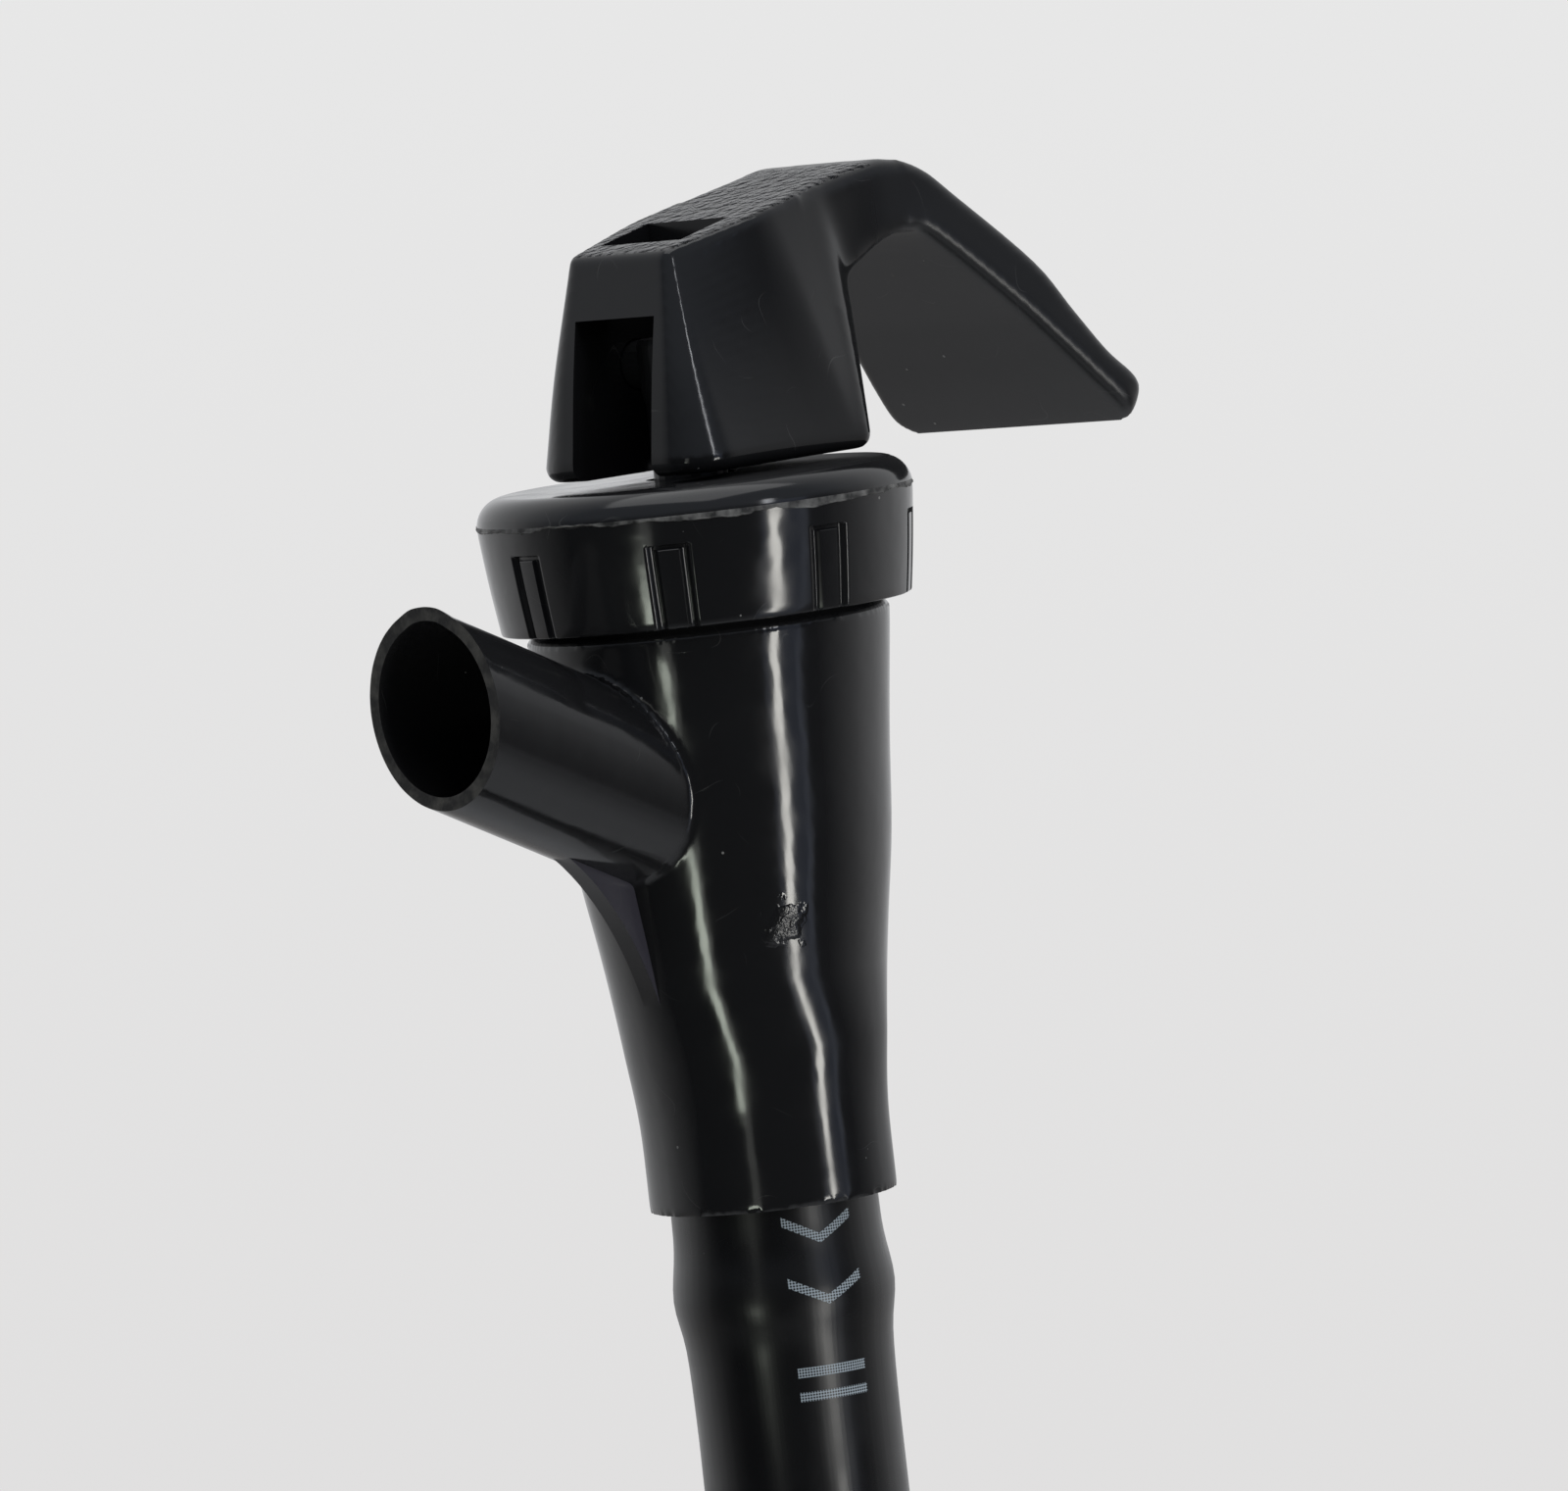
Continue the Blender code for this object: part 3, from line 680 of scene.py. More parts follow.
@dataclass(frozen=True)
class PrintedVinyl:
    """Extruded soft PVC hose: satin black with faint lines along it, and a pale line of flow
    marks printed through a fine screen. The UV map runs round the hose and along it."""

    name: str
    length: float
    girth: float
    colour: str = "#141415"
    ink: str = "#b6c2c9"

    def printed(self, add: Callable, around: NodeSocket, along: NodeSocket) -> NodeSocket:
        """Draws the flow marks: two chevrons and two bars in every 22 mm.

        Args:
            add: Adds a node to the material.
            around: Millimetres round the hose.
            along: Millimetres along the hose.

        Returns:
            One where there is ink and zero elsewhere.
        """
        aside = add("Math", {0: around, 1: self.girth / MM * 0.56}, operation="SUBTRACT")
        aside = add("Math", {0: aside}, operation="ABSOLUTE")
        lean = add("Math", {0: aside, 1: 0.55, 2: along}, operation="MULTIPLY_ADD")
        ink = 0.0
        for line, middle in ((lean, 11.6), (lean, 15.9), (along, 0.6), (along, 20.9)):
            cell = add("Math", {0: line, 1: 22.0}, operation="MODULO")
            stroke = add("Math", {0: cell, 1: middle, 2: 0.34}, operation="COMPARE")
            ink = add("Math", {0: ink, 1: stroke}, operation="MAXIMUM")
        short = add("Math", {0: aside, 1: 2.6}, operation="LESS_THAN")
        ink = add("Math", {0: ink, 1: short}, operation="MULTIPLY")

        # The screen's dots are 0.4 mm apart.
        dots = 1.0
        for way in ("ADD", "SUBTRACT"):
            line = add("Math", {0: around, 1: along}, operation=way)
            line = add("Math", {0: line, 1: 2 * math.pi / 0.40}, operation="MULTIPLY")
            line = add("Math", {0: line}, operation="SINE")
            dots = add("Math", {0: dots, 1: line}, operation="MULTIPLY")
        dots = add("MapRange", {0: dots, 1: -0.22, 2: 0.02})
        return add("Math", {0: ink, 1: dots}, operation="MULTIPLY")

    def material(self) -> Material:
        """Builds the material."""
        made, add, shader, place = blank(self.name)
        chart = add("UVMap", uv_map="UVMap")
        around = add("SeparateXYZ", {0: chart}, "X")
        around = add("Math", {0: around, 1: self.girth / MM}, operation="MULTIPLY")
        along = add("SeparateXYZ", {0: chart}, "Y")
        along = add("Math", {0: along, 1: self.length / MM}, operation="MULTIPLY")
        ink = self.printed(add, around, along)
        dust = specks(add, place, 2.4, 0.7, 0.05)
        colour = shaded(add, dust, 0.0, 1.0, linear(self.colour), linear("#7c7c7a"))
        colour = shaded(add, ink, 0.0, 1.0, colour, linear(self.ink))
        cloud = add("TexNoise", {"Vector": place, "Scale": per_mm(6.0), "Detail": 3.0})
        gloss = add("MapRange", {0: cloud, 1: 0.3, 2: 0.7, 3: 0.24, 4: 0.36})
        dull = add("Math", {0: ink, 1: 0.55}, operation="MULTIPLY")
        gloss = add("Math", {0: gloss, 1: dull}, operation="MAXIMUM")

        drag = add("Math", {0: around, 1: 1.6}, operation="MULTIPLY")
        lines = add("TexNoise", {"W": drag, "Scale": 1.0, "Detail": 2.0}, noise_dimensions="1D")
        wave = add("TexNoise", {"Vector": place, "Scale": per_mm(9.0)})
        bump = add("Bump", {"Height": wave, "Distance": 0.06 * MM})
        bump = add("Bump", {"Height": lines, "Distance": 0.006 * MM, "Normal": bump})
        feed(shader, {"Base Color": colour, "Roughness": gloss, "Normal": bump})
        return made


class Working(Enum):
    """How a metal surface was made: the stretch of its lines along X, Y and Z, and their pitch
    in millimetres."""

    TURNED = ((0.15, 0.15, 1.0), 0.22)
    DRAWN = ((1.0, 1.0, 0.1), 0.22)
    PLATED = ((1.0, 1.0, 1.0), 0.6)


@dataclass(frozen=True)
class WorkedMetal:
    """Bare or plated metal: the tool's fine lines catch the light, and handling has left soft
    dull patches."""

    name: str
    colour: str
    roughness: float
    working: Working

    def material(self) -> Material:
        """Builds the material."""
        made, add, shader, place = blank(self.name)
        stretch, pitch = self.working.value
        patch = add("TexNoise", {"Vector": place, "Scale": per_mm(4.0), "Detail": 4.0})
        lined = add("Mapping", {"Vector": place, "Scale": stretch})
        lines = add("TexNoise", {"Vector": lined, "Scale": per_mm(pitch), "Detail": 3.0})
        gloss = add("MapRange", {0: patch, 1: 0.35, 2: 0.7, 3: self.roughness,
                                 4: self.roughness + 0.16})
        bump = add("Bump", {"Height": lines, "Distance": 0.004 * MM})
        feed(shader, {"Base Color": linear(self.colour), "Metallic": 1.0, "Roughness": gloss,
                      "Normal": bump})
        return made


@dataclass(frozen=True)
class StudioPaper:
    """Matt pale paper for the floor, fading out towards its edge."""

    name: str
    colour: str = "#dcdcdc"
    inner: float = 0.14
    outer: float = 0.40

    def material(self) -> Material:
        """Builds the material."""
        made, add, shader, place = blank(self.name)
        grain = add("TexNoise", {"Vector": place, "Scale": per_mm(2.0), "Detail": 4.0})
        flat = add("VectorMath", {0: place, 1: (1.0, 1.0, 0.0)}, operation="MULTIPLY")
        reach = add("VectorMath", {0: flat}, 1, operation="LENGTH")
        fade = add("MapRange", {0: reach, 1: self.inner, 2: self.outer, 3: 1.0, 4: 0.0})
        bump = add("Bump", {"Height": grain, "Distance": 0.05 * MM})
        feed(shader, {"Base Color": linear(self.colour), "Roughness": 0.9, "Alpha": fade,
                      "Normal": bump})
        return made


# -------------------------------------------------------------------- studio


@dataclass
class Studio:
    """Camera, floor, lights and surroundings.

    The tap is seen from its front right, held a little askew. The room behind the camera is
    dark and the paper behind the tap is bright, so the gloss shows pale edges and a dark
    middle, with two narrow upright lights in it.
    """

    turn: float = math.radians(45.0)
    rise: float = math.radians(4.0)
    roll: float = math.radians(-6.5)
    distance: float = 0.9
    aim_height: float = 0.0315
    aim_right: float = 0.0043
    image: tuple[int, int] = (1600, 1521)
    dots_per_mm: float = 14.6
    floor_z: float = -0.1869

    def axes(self) -> tuple[Vector, Vector, Vector]:
        """The camera's right, up and backward directions."""
        back = Vector((math.sin(self.turn) * math.cos(self.rise),
                       -math.cos(self.turn) * math.cos(self.rise), math.sin(self.rise)))
        right = Vector((math.cos(self.turn), math.sin(self.turn), 0.0))
        up = back.cross(right)
        return (right * math.cos(self.roll) + up * math.sin(self.roll),
                up * math.cos(self.roll) - right * math.sin(self.roll), back)

    def add_camera(self) -> None:
        """Adds the camera and makes it the scene's."""
        right, up, back = self.axes()
        level = Vector((math.cos(self.turn), math.sin(self.turn), 0.0))
        aim = Vector((0.0, 0.0, self.aim_height)) + level * self.aim_right
        release_all()
        bpy.ops.object.camera_add()
        camera = added("studio_camera")
        camera.matrix_world = (Matrix.Translation(aim + back * self.distance)
                               @ Matrix((right, up, back)).transposed().to_4x4())
        camera.data.sensor_width = 36.0
        span = self.image[0] / self.dots_per_mm * MM
        camera.data.lens = camera.data.sensor_width * self.distance / span
        camera.data.clip_start = 0.01
        bpy.context.scene.camera = camera

    def add_light(self, name: str, turn: float, rise: float, distance: float,
                  size: tuple[float, float], radiance: float, colour: str) -> None:
        """Adds a flat light that faces the tap and leans with the camera.

        Args:
            name: The light's name.
            turn: Its direction from the tap in degrees, as the camera's is counted.
            rise: Its height above the horizon in degrees.
            distance: How far away it stands.
            size: Its width and height.
            radiance: How bright its face is.
            colour: Its sRGB colour.
        """
        a, e = math.radians(turn), math.radians(rise)
        out = Vector((math.sin(a) * math.cos(e), -math.cos(a) * math.cos(e), math.sin(e)))
        upright = self.axes()[1]
        across = upright.cross(out).normalized()
        release_all()
        bpy.ops.object.light_add(type="AREA")
        light = added(name)
        light.matrix_world = (Matrix.Translation(Vector((0, 0, 0.03)) + out * distance)
                              @ Matrix((across, out.cross(across), out)).transposed().to_4x4())
        light.data.shape = "RECTANGLE"
        light.data.size, light.data.size_y = size
        light.data.energy = radiance * math.pi * size[0] * size[1]
        light.data.color = linear(colour)[:3]

    def add_world(self) -> None:
        """Adds the surroundings: bright paper behind the tap and a dim room before it."""
        world = bpy.data.worlds.new("studio")
        world.use_nodes = True
        bpy.context.scene.world = world
        world.node_tree.nodes.clear()
        add = partial(add_node, world.node_tree)
        _, up, back = self.axes()
        toward = add("TexCoord", out="Generated")
        height = add("SeparateXYZ", {0: toward}, "Z")
        window = shaded(add, height, 0.10, 0.42, linear("#222326"), linear("#8b919b"))
        far = shaded(add, height, -0.62, 0.0, linear("#807c7a"), linear("#dfe0e2"))
        facing = add("VectorMath", {0: toward, 1: back}, 1, operation="DOT_PRODUCT")
        room = shaded(add, facing, -0.45, 0.28, far, window)
        lift = add("VectorMath", {0: toward, 1: up}, 1, operation="DOT_PRODUCT")
        paper = shaded(add, lift, -0.07, 0.07, linear("#e0dfdf"), linear("#e8e8e8"))
        seen = add("LightPath", out="Is Camera Ray")
        colour = shaded(add, seen, 0.0, 1.0, room, paper)
        add("OutputWorld", {0: add("Background", {"Color": colour})})

    def build(self) -> None:
        """Adds everything that isn't the tap."""
        bpy.context.scene.view_settings.view_transform = "Standard"
        self.add_world()
        for light in (("right_strip", 86.0, -18.0, 0.8, (0.075, 0.34), 14.0, "#fdfbf4"),
                      ("high_strip", 85.0, 21.0, 0.8, (0.06, 0.22), 8.0, "#f4f6fb"),
                      ("right_edge", 103.0, -18.0, 0.8, (0.07, 0.30), 0.4, "#dfe6f6"),
                      ("right_glow", 92.0, -10.0, 0.82, (0.36, 0.95), 0.5, "#b9c6e6"),
                      ("left_strip", 13.0, -20.5, 0.8, (0.07, 0.15), 10.0, "#eaf3e4"),
                      ("left_glow", 17.0, -8.0, 0.82, (0.09, 0.50), 0.9, "#eef0ea"),
                      ("top_softbox", 45.0, 84.0, 1.1, (1.0, 1.0), 1.2, "#ffffff")):
            self.add_light(*light)
        release_all()
        bpy.ops.mesh.primitive_circle_add(vertices=96, radius=0.42, fill_type="NGON",
                                          location=(0, 0, self.floor_z))
        floor = settle(added("studio_floor"))
        dress(floor, [StudioPaper("studio_paper")])
        LOG.info("studio: camera, floor and lights")


# ---------------------------------------------------------------------- hose


@dataclass
class Hose:
    """The hose from the barb to the fitting, and its printed marks."""

    radius: float = 0.00715
    bore: float = 0.0050
    length: float = 0.61
    lead: float = 0.108
    turn_radius: float = 0.0715
    shift: float = 0.0146
    top_z: float = 0.0092
    swell: tuple[tuple[float, float], ...] = (
        (0.0100, 0.00715), (0.0, 0.0073), (-0.0030, 0.0074), (-0.0065, 0.0078),
        (-0.0100, 0.0073), (-0.0150, 0.00715), (-0.0200, 0.00715))

    def route(self) -> list[Vector]:
        """The hose's middle line, from inside the skirt to the fitting."""
        swell = eased(self.swell, 4)
        path = [Vector((0, 0, min(z, self.top_z))) for z, _ in swell]
        path += [Vector((0, 0, -0.020 - (self.lead - 0.020) * k / 11)) for k in range(1, 12)]
        steps = 72
        for k in range(1, steps + 1):
            angle = 2 * math.pi * k / steps
            path.append(Vector((
                self.shift * smoothstep(math.radians(20), math.radians(340), angle),
                self.turn_radius * (math.cos(angle) - 1),
                -self.lead - self.turn_radius * math.sin(angle))))
        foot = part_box("hose_tail")[0].z
        path += [Vector((self.shift, 0, -self.lead + (foot + self.lead) * k / 7)) for k in range(1, 8)]
        return path

    def build(self) -> None:
        path = self.route()
        widths = [radius for _, radius in eased(self.swell, 4)]
        widths += [self.radius] * (len(path) - len(widths))
        rings, sides = [], 48
        for k, (point, width) in enumerate(zip(path, widths)):
            along = (path[min(k + 1, len(path) - 1)] - path[max(k - 1, 0)]).normalized()
            across = (Vector((1, 0, 0)) - along * along.x).normalized()
            other = along.cross(across)
            rings.append([point + (across * math.cos(a) + other * math.sin(a)) * width
                          for a in (2 * math.pi * n / sides - math.pi for n in range(sides))])
        end, ways = path[-1], [(corner - path[-1]).normalized() for corner in rings[-1]]
        for width, rise in ((self.radius - 0.0004, 0.0), (self.bore + 0.0003, 0.0), (self.bore, 0.0004),
                            (self.bore, 0.0180)):
            rings.append([end + way * width + Vector((0, 0, rise)) for way in ways])
        hose = wrapped("hose", rings)
        reach = [0.0]
        for here, there in zip(rings, rings[1:]):
            reach.append(reach[-1] + (there[0] - here[0]).length)
        for chart in hose.data.uv_layers["UVMap"].uv:
            chart.vector.y = reach[round(chart.vector.y * (len(rings) - 1))] / self.length
        vinyl = PrintedVinyl("extruded_vinyl", self.length, 2 * math.pi * self.radius)
        self.object = finished(hose, "root",
                               ("hose_cuff", "hose_lead", "hose_coil", "hose_tail"), 40, [vinyl])
        self.path = path


# ---------------------------------------------------------------------- body


@dataclass
class TapBody:
    """The tapered body with its spout, web, skirt, barb and valve chamber."""

    wall: tuple[tuple[float, float], ...] = (
        (0.01275, 0.0406), (0.01260, 0.0390), (0.01225, 0.0360), (0.01175, 0.0315),
        (0.01135, 0.0270), (0.01095, 0.0235), (0.01025, 0.0190), (0.00970, 0.0150),
        (0.00925, 0.0110), (0.00875, 0.0060), (0.00870, 0.0))
    neck_radius: float = 0.0122
    neck_foot: float = 0.0412
    skirt_bore: float = 0.0076
    groove_z: float = 0.0100
    barb_radius: float = 0.00475
    nose_z: float = -0.0100
    seat_z: float = 0.0176
    spout_radius: float = 0.00635
    spout_bore: float = 0.00548
    spout_rise: float = math.radians(24.5)
    spout_root_z: float = 0.0256
    spout_reach: float = 0.0271
    web: float = 0.0016
    mesh_width: float = 0.00026

    def spout_line(self, distance: float) -> Vector:
        """A point on the spout's axis, this far from the body's axis."""
        return Vector((0.0, -math.cos(self.spout_rise) * distance,
                       self.spout_root_z + math.sin(self.spout_rise) * distance))

    def moulding(self) -> Object:
        """The outer form: body and spout melted, which fills their corner, and the web joined on."""
        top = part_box("tap_body")[1].z
        outline = [(0.0, top), (self.neck_radius, top), (self.neck_radius, self.neck_foot)]
        outline += eased(self.wall, 5) + [(0.0, 0.0)]
        body = turned("tap_body_moulding", outline, 160, closed=False)
        mouth = self.spout_reach / math.cos(self.spout_rise)
        spout = rod("spout", self.spout_line(0.004), self.spout_line(mouth + 0.006),
                    self.spout_radius, 128)
        edge = []
        for k in range(17):
            t = k / 16
            edge.append(tuple((1 - t) ** 2 * a + 2 * t * (1 - t) * b + t * t * c for a, b, c in zip(
                (0.0, -0.0175, 0.0269), (0.0, -0.0112, 0.0222), (0.0, -0.0090, 0.0125))))
        outline = edge + [(0, -0.0060, 0.0125), (0, -0.0060, 0.0280), (0, -0.0165, 0.0300)]
        web = plate("web", outline, (self.web, 0, 0))
        body = melted(body, [spout], self.mesh_width, 2)
        return combine(body, web, "UNION")

    def hollow(self, body: Object) -> None:
        """Cuts the mouth, the valve chamber, the spout's bore and the skirt."""
        mouth = self.spout_reach / math.cos(self.spout_rise)
        combine(body, box("mouth_cut", (-0.012, -0.045, 0.020),
                          (0.012, -self.spout_reach, 0.060)))
        chamber = [(0.0, 0.049), (0.0104, 0.049), (0.0102, 0.0410), (0.0096, 0.0340),
                   (0.0084, 0.0220), (0.0080, 0.0185), (0.0080, 0.0169), (0.0047, 0.0169),
                   (0.0045, self.seat_z), (0.0037, self.seat_z), (0.0035, 0.0174), (0.0035, -0.001),
                   (0.0, -0.001)]
        combine(body, turned("chamber_cut", chamber, 96, closed=False))
        combine(body, rod("bore_cut", self.spout_line(0.0015), self.spout_line(mouth + 0.02),
                          self.spout_bore, 128))
        skirt = [(0.0046, -0.001), (self.skirt_bore + 0.0001, -0.001), (self.skirt_bore, 0.0002),
                 (self.skirt_bore, self.groove_z), (self.barb_radius, self.groove_z),
                 (self.barb_radius, 0.0008), (0.0046, 0.0006)]
        combine(body, turned("skirt_cut", skirt, 128))
        barb = [(0.0035, 0.0009), (0.00473, 0.0009), (0.00473, -0.0052), (0.0055, -0.0056),
                (0.0055, -0.0062), (0.00435, self.nose_z + 0.0003), (0.0041, self.nose_z),
                (0.0035, self.nose_z)]
        combine(body, turned("barb", barb, 96), "UNION")

    def roughen_mouth(self, body: Object) -> None:
        """Leaves the spout's end as a saw would: slightly uneven, with a burr at its top."""
        for corner in body.data.vertices:
            if corner.co.y < 0.0005 - self.spout_reach:
                out = (corner.co - self.spout_line(0.0297)).normalized()
                jag = noise.noise(corner.co * per_mm(0.9))
                burr = smoothstep(0.80, 0.97, out.z) * smoothstep(0.40, 0.15, abs(out.x))
                corner.co += out * (0.012 * jag + 0.14 * burr) * MM

    def build(self) -> None:
        """Makes the body and dresses it."""
        body = self.moulding()
        self.hollow(body)
        self.roughen_mouth(body)
        gate_turn = math.radians(61.0)
        gate = (0.0105 * math.sin(gate_turn), -0.0105 * math.cos(gate_turn), 0.0199)
        # The web's pale bluish colour is a painted sheen on its flat sides, not a colour of its own.
        finishes = [MouldedAbs("moulded_abs_body", gate=gate, sag=0.14), TornAbs("sawn_abs"),
                    MouldedAbs("moulded_abs_web_painted_sheen", colour="#46444c", roughness=0.3, waves=0.0)]

        def which(centre: Vector, normal: Vector) -> int:
            """The mouth's end is sawn; the web's sides are duller, with a painted sheen."""
            if centre.y < 0.0004 - self.spout_reach and normal.y < -0.6:
                return 1
            web = abs(normal.x) > 0.95 and abs(centre.x) < 0.6 * self.web and centre.y < -0.008
            return 2 if web and centre.z < 0.028 else 0

        finished(body, "root", ["tap_body"], 32, finishes, which)


@dataclass
class CapNut:
    """The screw cap: rounded shoulder, torn flash along its seam, and eight ribbed notches."""

    seam_radius: float = 0.0153
    foot_radius: float = 0.0144
    seam_z: float = 0.0488
    bore: float = 0.01275
    roof_z: float = 0.0487
    hole: float = 0.0031
    shoulder: float = 0.0021
    notches: int = 8
    notch_turn: float = math.radians(-8.0)
    notch_top: float = 0.0472
    notch_depth: float = 0.00038
    rib_depth: float = 0.00007
    rib_drop: float = 0.0003
    groove_middle: float = 0.0011
    groove_half: float = 0.00054

    def angles(self) -> list[float]:
        """Where the corners lie round the cap: evenly, and closer at each notch."""
        middle_radius = (self.seam_radius + self.foot_radius) / 2
        pitch = 2 * math.pi / self.notches
        half = (self.groove_middle + self.groove_half + 0.0001) / middle_radius
        offsets = [half * (2 * k / 44 - 1) for k in range(45)]
        offsets += [half + (pitch - 2 * half) * k / 26 for k in range(1, 26)]
        return [self.notch_turn + pitch * n + offset for n in range(self.notches) for offset in offsets]

    def sunk(self, angle: float, height: float) -> float:
        """Says how deep the wall is cut back at a place.

        Args:
            angle: The place's angle round the cap.
            height: Its height.

        Returns:
            The depth in metres.
        """
        pitch = 2 * math.pi / self.notches
        offset = (angle - self.notch_turn + pitch / 2) % pitch - pitch / 2
        across = abs(offset) * (self.seam_radius + self.foot_radius) / 2
        side = abs(across - self.groove_middle) / self.groove_half
        groove = self.notch_depth * math.cos(min(side, 1.0) * math.pi / 2) ** 2
        if across < self.groove_middle:
            rib_top = self.notch_top - self.rib_drop
            above = smoothstep(rib_top - 0.0001, rib_top, height)
            groove = max(groove, self.rib_depth + (self.notch_depth - self.rib_depth) * above)
        return groove * smoothstep(self.notch_top, self.notch_top - 0.00012, height)

    def section(self) -> list[tuple[float, float, float, float]]:
        """The cap's section: radius, height, share of the notches, and share of the flash."""
        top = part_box("cap_nut")[1].z
        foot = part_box("cap_nut")[0].z
        centre = (self.seam_radius - self.shoulder, top - self.shoulder)
        rows = [(self.hole, top - 0.0001, 0, 0), (self.hole + 0.0001, top, 0, 0), (0.0060, top, 0, 0),
                (0.0095, top, 0, 0), (0.0115, top, 0, 0)]
        rows += [(r, z, 0, 0) for r, z in arc(centre, self.shoulder, 90, 6, 12)]
        rows += [(self.seam_radius - 0.00001, self.seam_z + 0.00006, 0, 0.9),
                 (self.seam_radius + 0.00005, self.seam_z + 0.00002, 0, 1.0),
                 (self.seam_radius + 0.00005, self.seam_z - 0.00003, 0, 1.0),
                 (self.seam_radius - 0.00002, self.seam_z - 0.00007, 0, 0.9)]
        heights = [0.0483, 0.0479, 0.0476, 0.04735, self.notch_top, 0.04716, 0.04712, 0.04708, 0.0470,
                   0.0469, 0.04686, 0.04682, 0.04678]
        heights += [0.0467 - (0.0467 - foot - 0.0002) * k / 9 for k in range(10)]
        for z in heights:
            share = (z - foot) / (self.seam_z - foot)
            bulge = 0.00006 * math.sin(math.pi * share)
            rows.append((self.foot_radius + (self.seam_radius - self.foot_radius) * share + bulge, z, 1, 0))
        rows += [(self.foot_radius - 0.00004, foot + 0.00006, 1, 0), (self.foot_radius - 0.0002, foot, 1, 0),
                 (self.bore + 0.0002, foot, 0, 0), (self.bore, foot + 0.0002, 0, 0),
                 (self.bore, self.roof_z - 0.0003, 0, 0), (self.bore - 0.0003, self.roof_z, 0, 0),
                 (self.hole + 0.0001, self.roof_z, 0, 0), (self.hole, self.roof_z + 0.0001, 0, 0)]
        return rows + rows[:1]

    def build(self) -> None:
        """Makes the cap and dresses it."""
        draw = random.Random(11)
        angles = self.angles()
        steps = [draw.uniform(-1, 1) for _ in range(48)]
        rings = []
        for radius, height, cut, flash in self.section():
            ring = []
            for k, angle in enumerate(angles):
                way = Vector((math.cos(angle), math.sin(angle), 0))
                spot = way * 0.015
                jag = noise.noise(spot * per_mm(3.2)) * 0.34 + noise.noise(spot * per_mm(0.6)) * 0.10
                jag += 0.13 * steps[int(angle / 2 / math.pi * 48) % 48]
                fin = max(0.0, noise.noise(spot * per_mm(1.1) + Vector((7, 0, 0)))) * 0.10
                r = radius - cut * self.sunk(angle, height) + (flash == 1.0) * fin * MM
                ring.append(way * r + Vector((0, 0, height + flash * jag * MM)))
            rings.append(ring)
        flash_reach = self.seam_radius - 0.00002

        def which(centre: Vector, normal: Vector) -> int:
            """Flash is the narrow seam band; the top is flatter, its right half painted shade."""
            if abs(centre.z - self.seam_z) < 0.0007 and centre.xy.length > flash_reach:
                return 1
            if normal.z < 0.3:
                return 0
            return 3 if normal.z > 0.95 and centre.x + centre.y > -0.0015 else 2

        # The top's right half barely shines: a painted shade under the lever's hub.
        finishes = [MouldedAbs("moulded_abs_cap", waves=0.06),
                    TornAbs("torn_flash", dark="#2b2b2a", pale="#82817e"),
                    MouldedAbs("moulded_abs_top", waves=0.008),
                    MouldedAbs("dimmed_abs_painted_shade", roughness=0.5, waves=0.0, shine=0.08)]
        finished(wrapped("screw_cap", rings), "root", ["cap_nut"], 34, finishes, which)


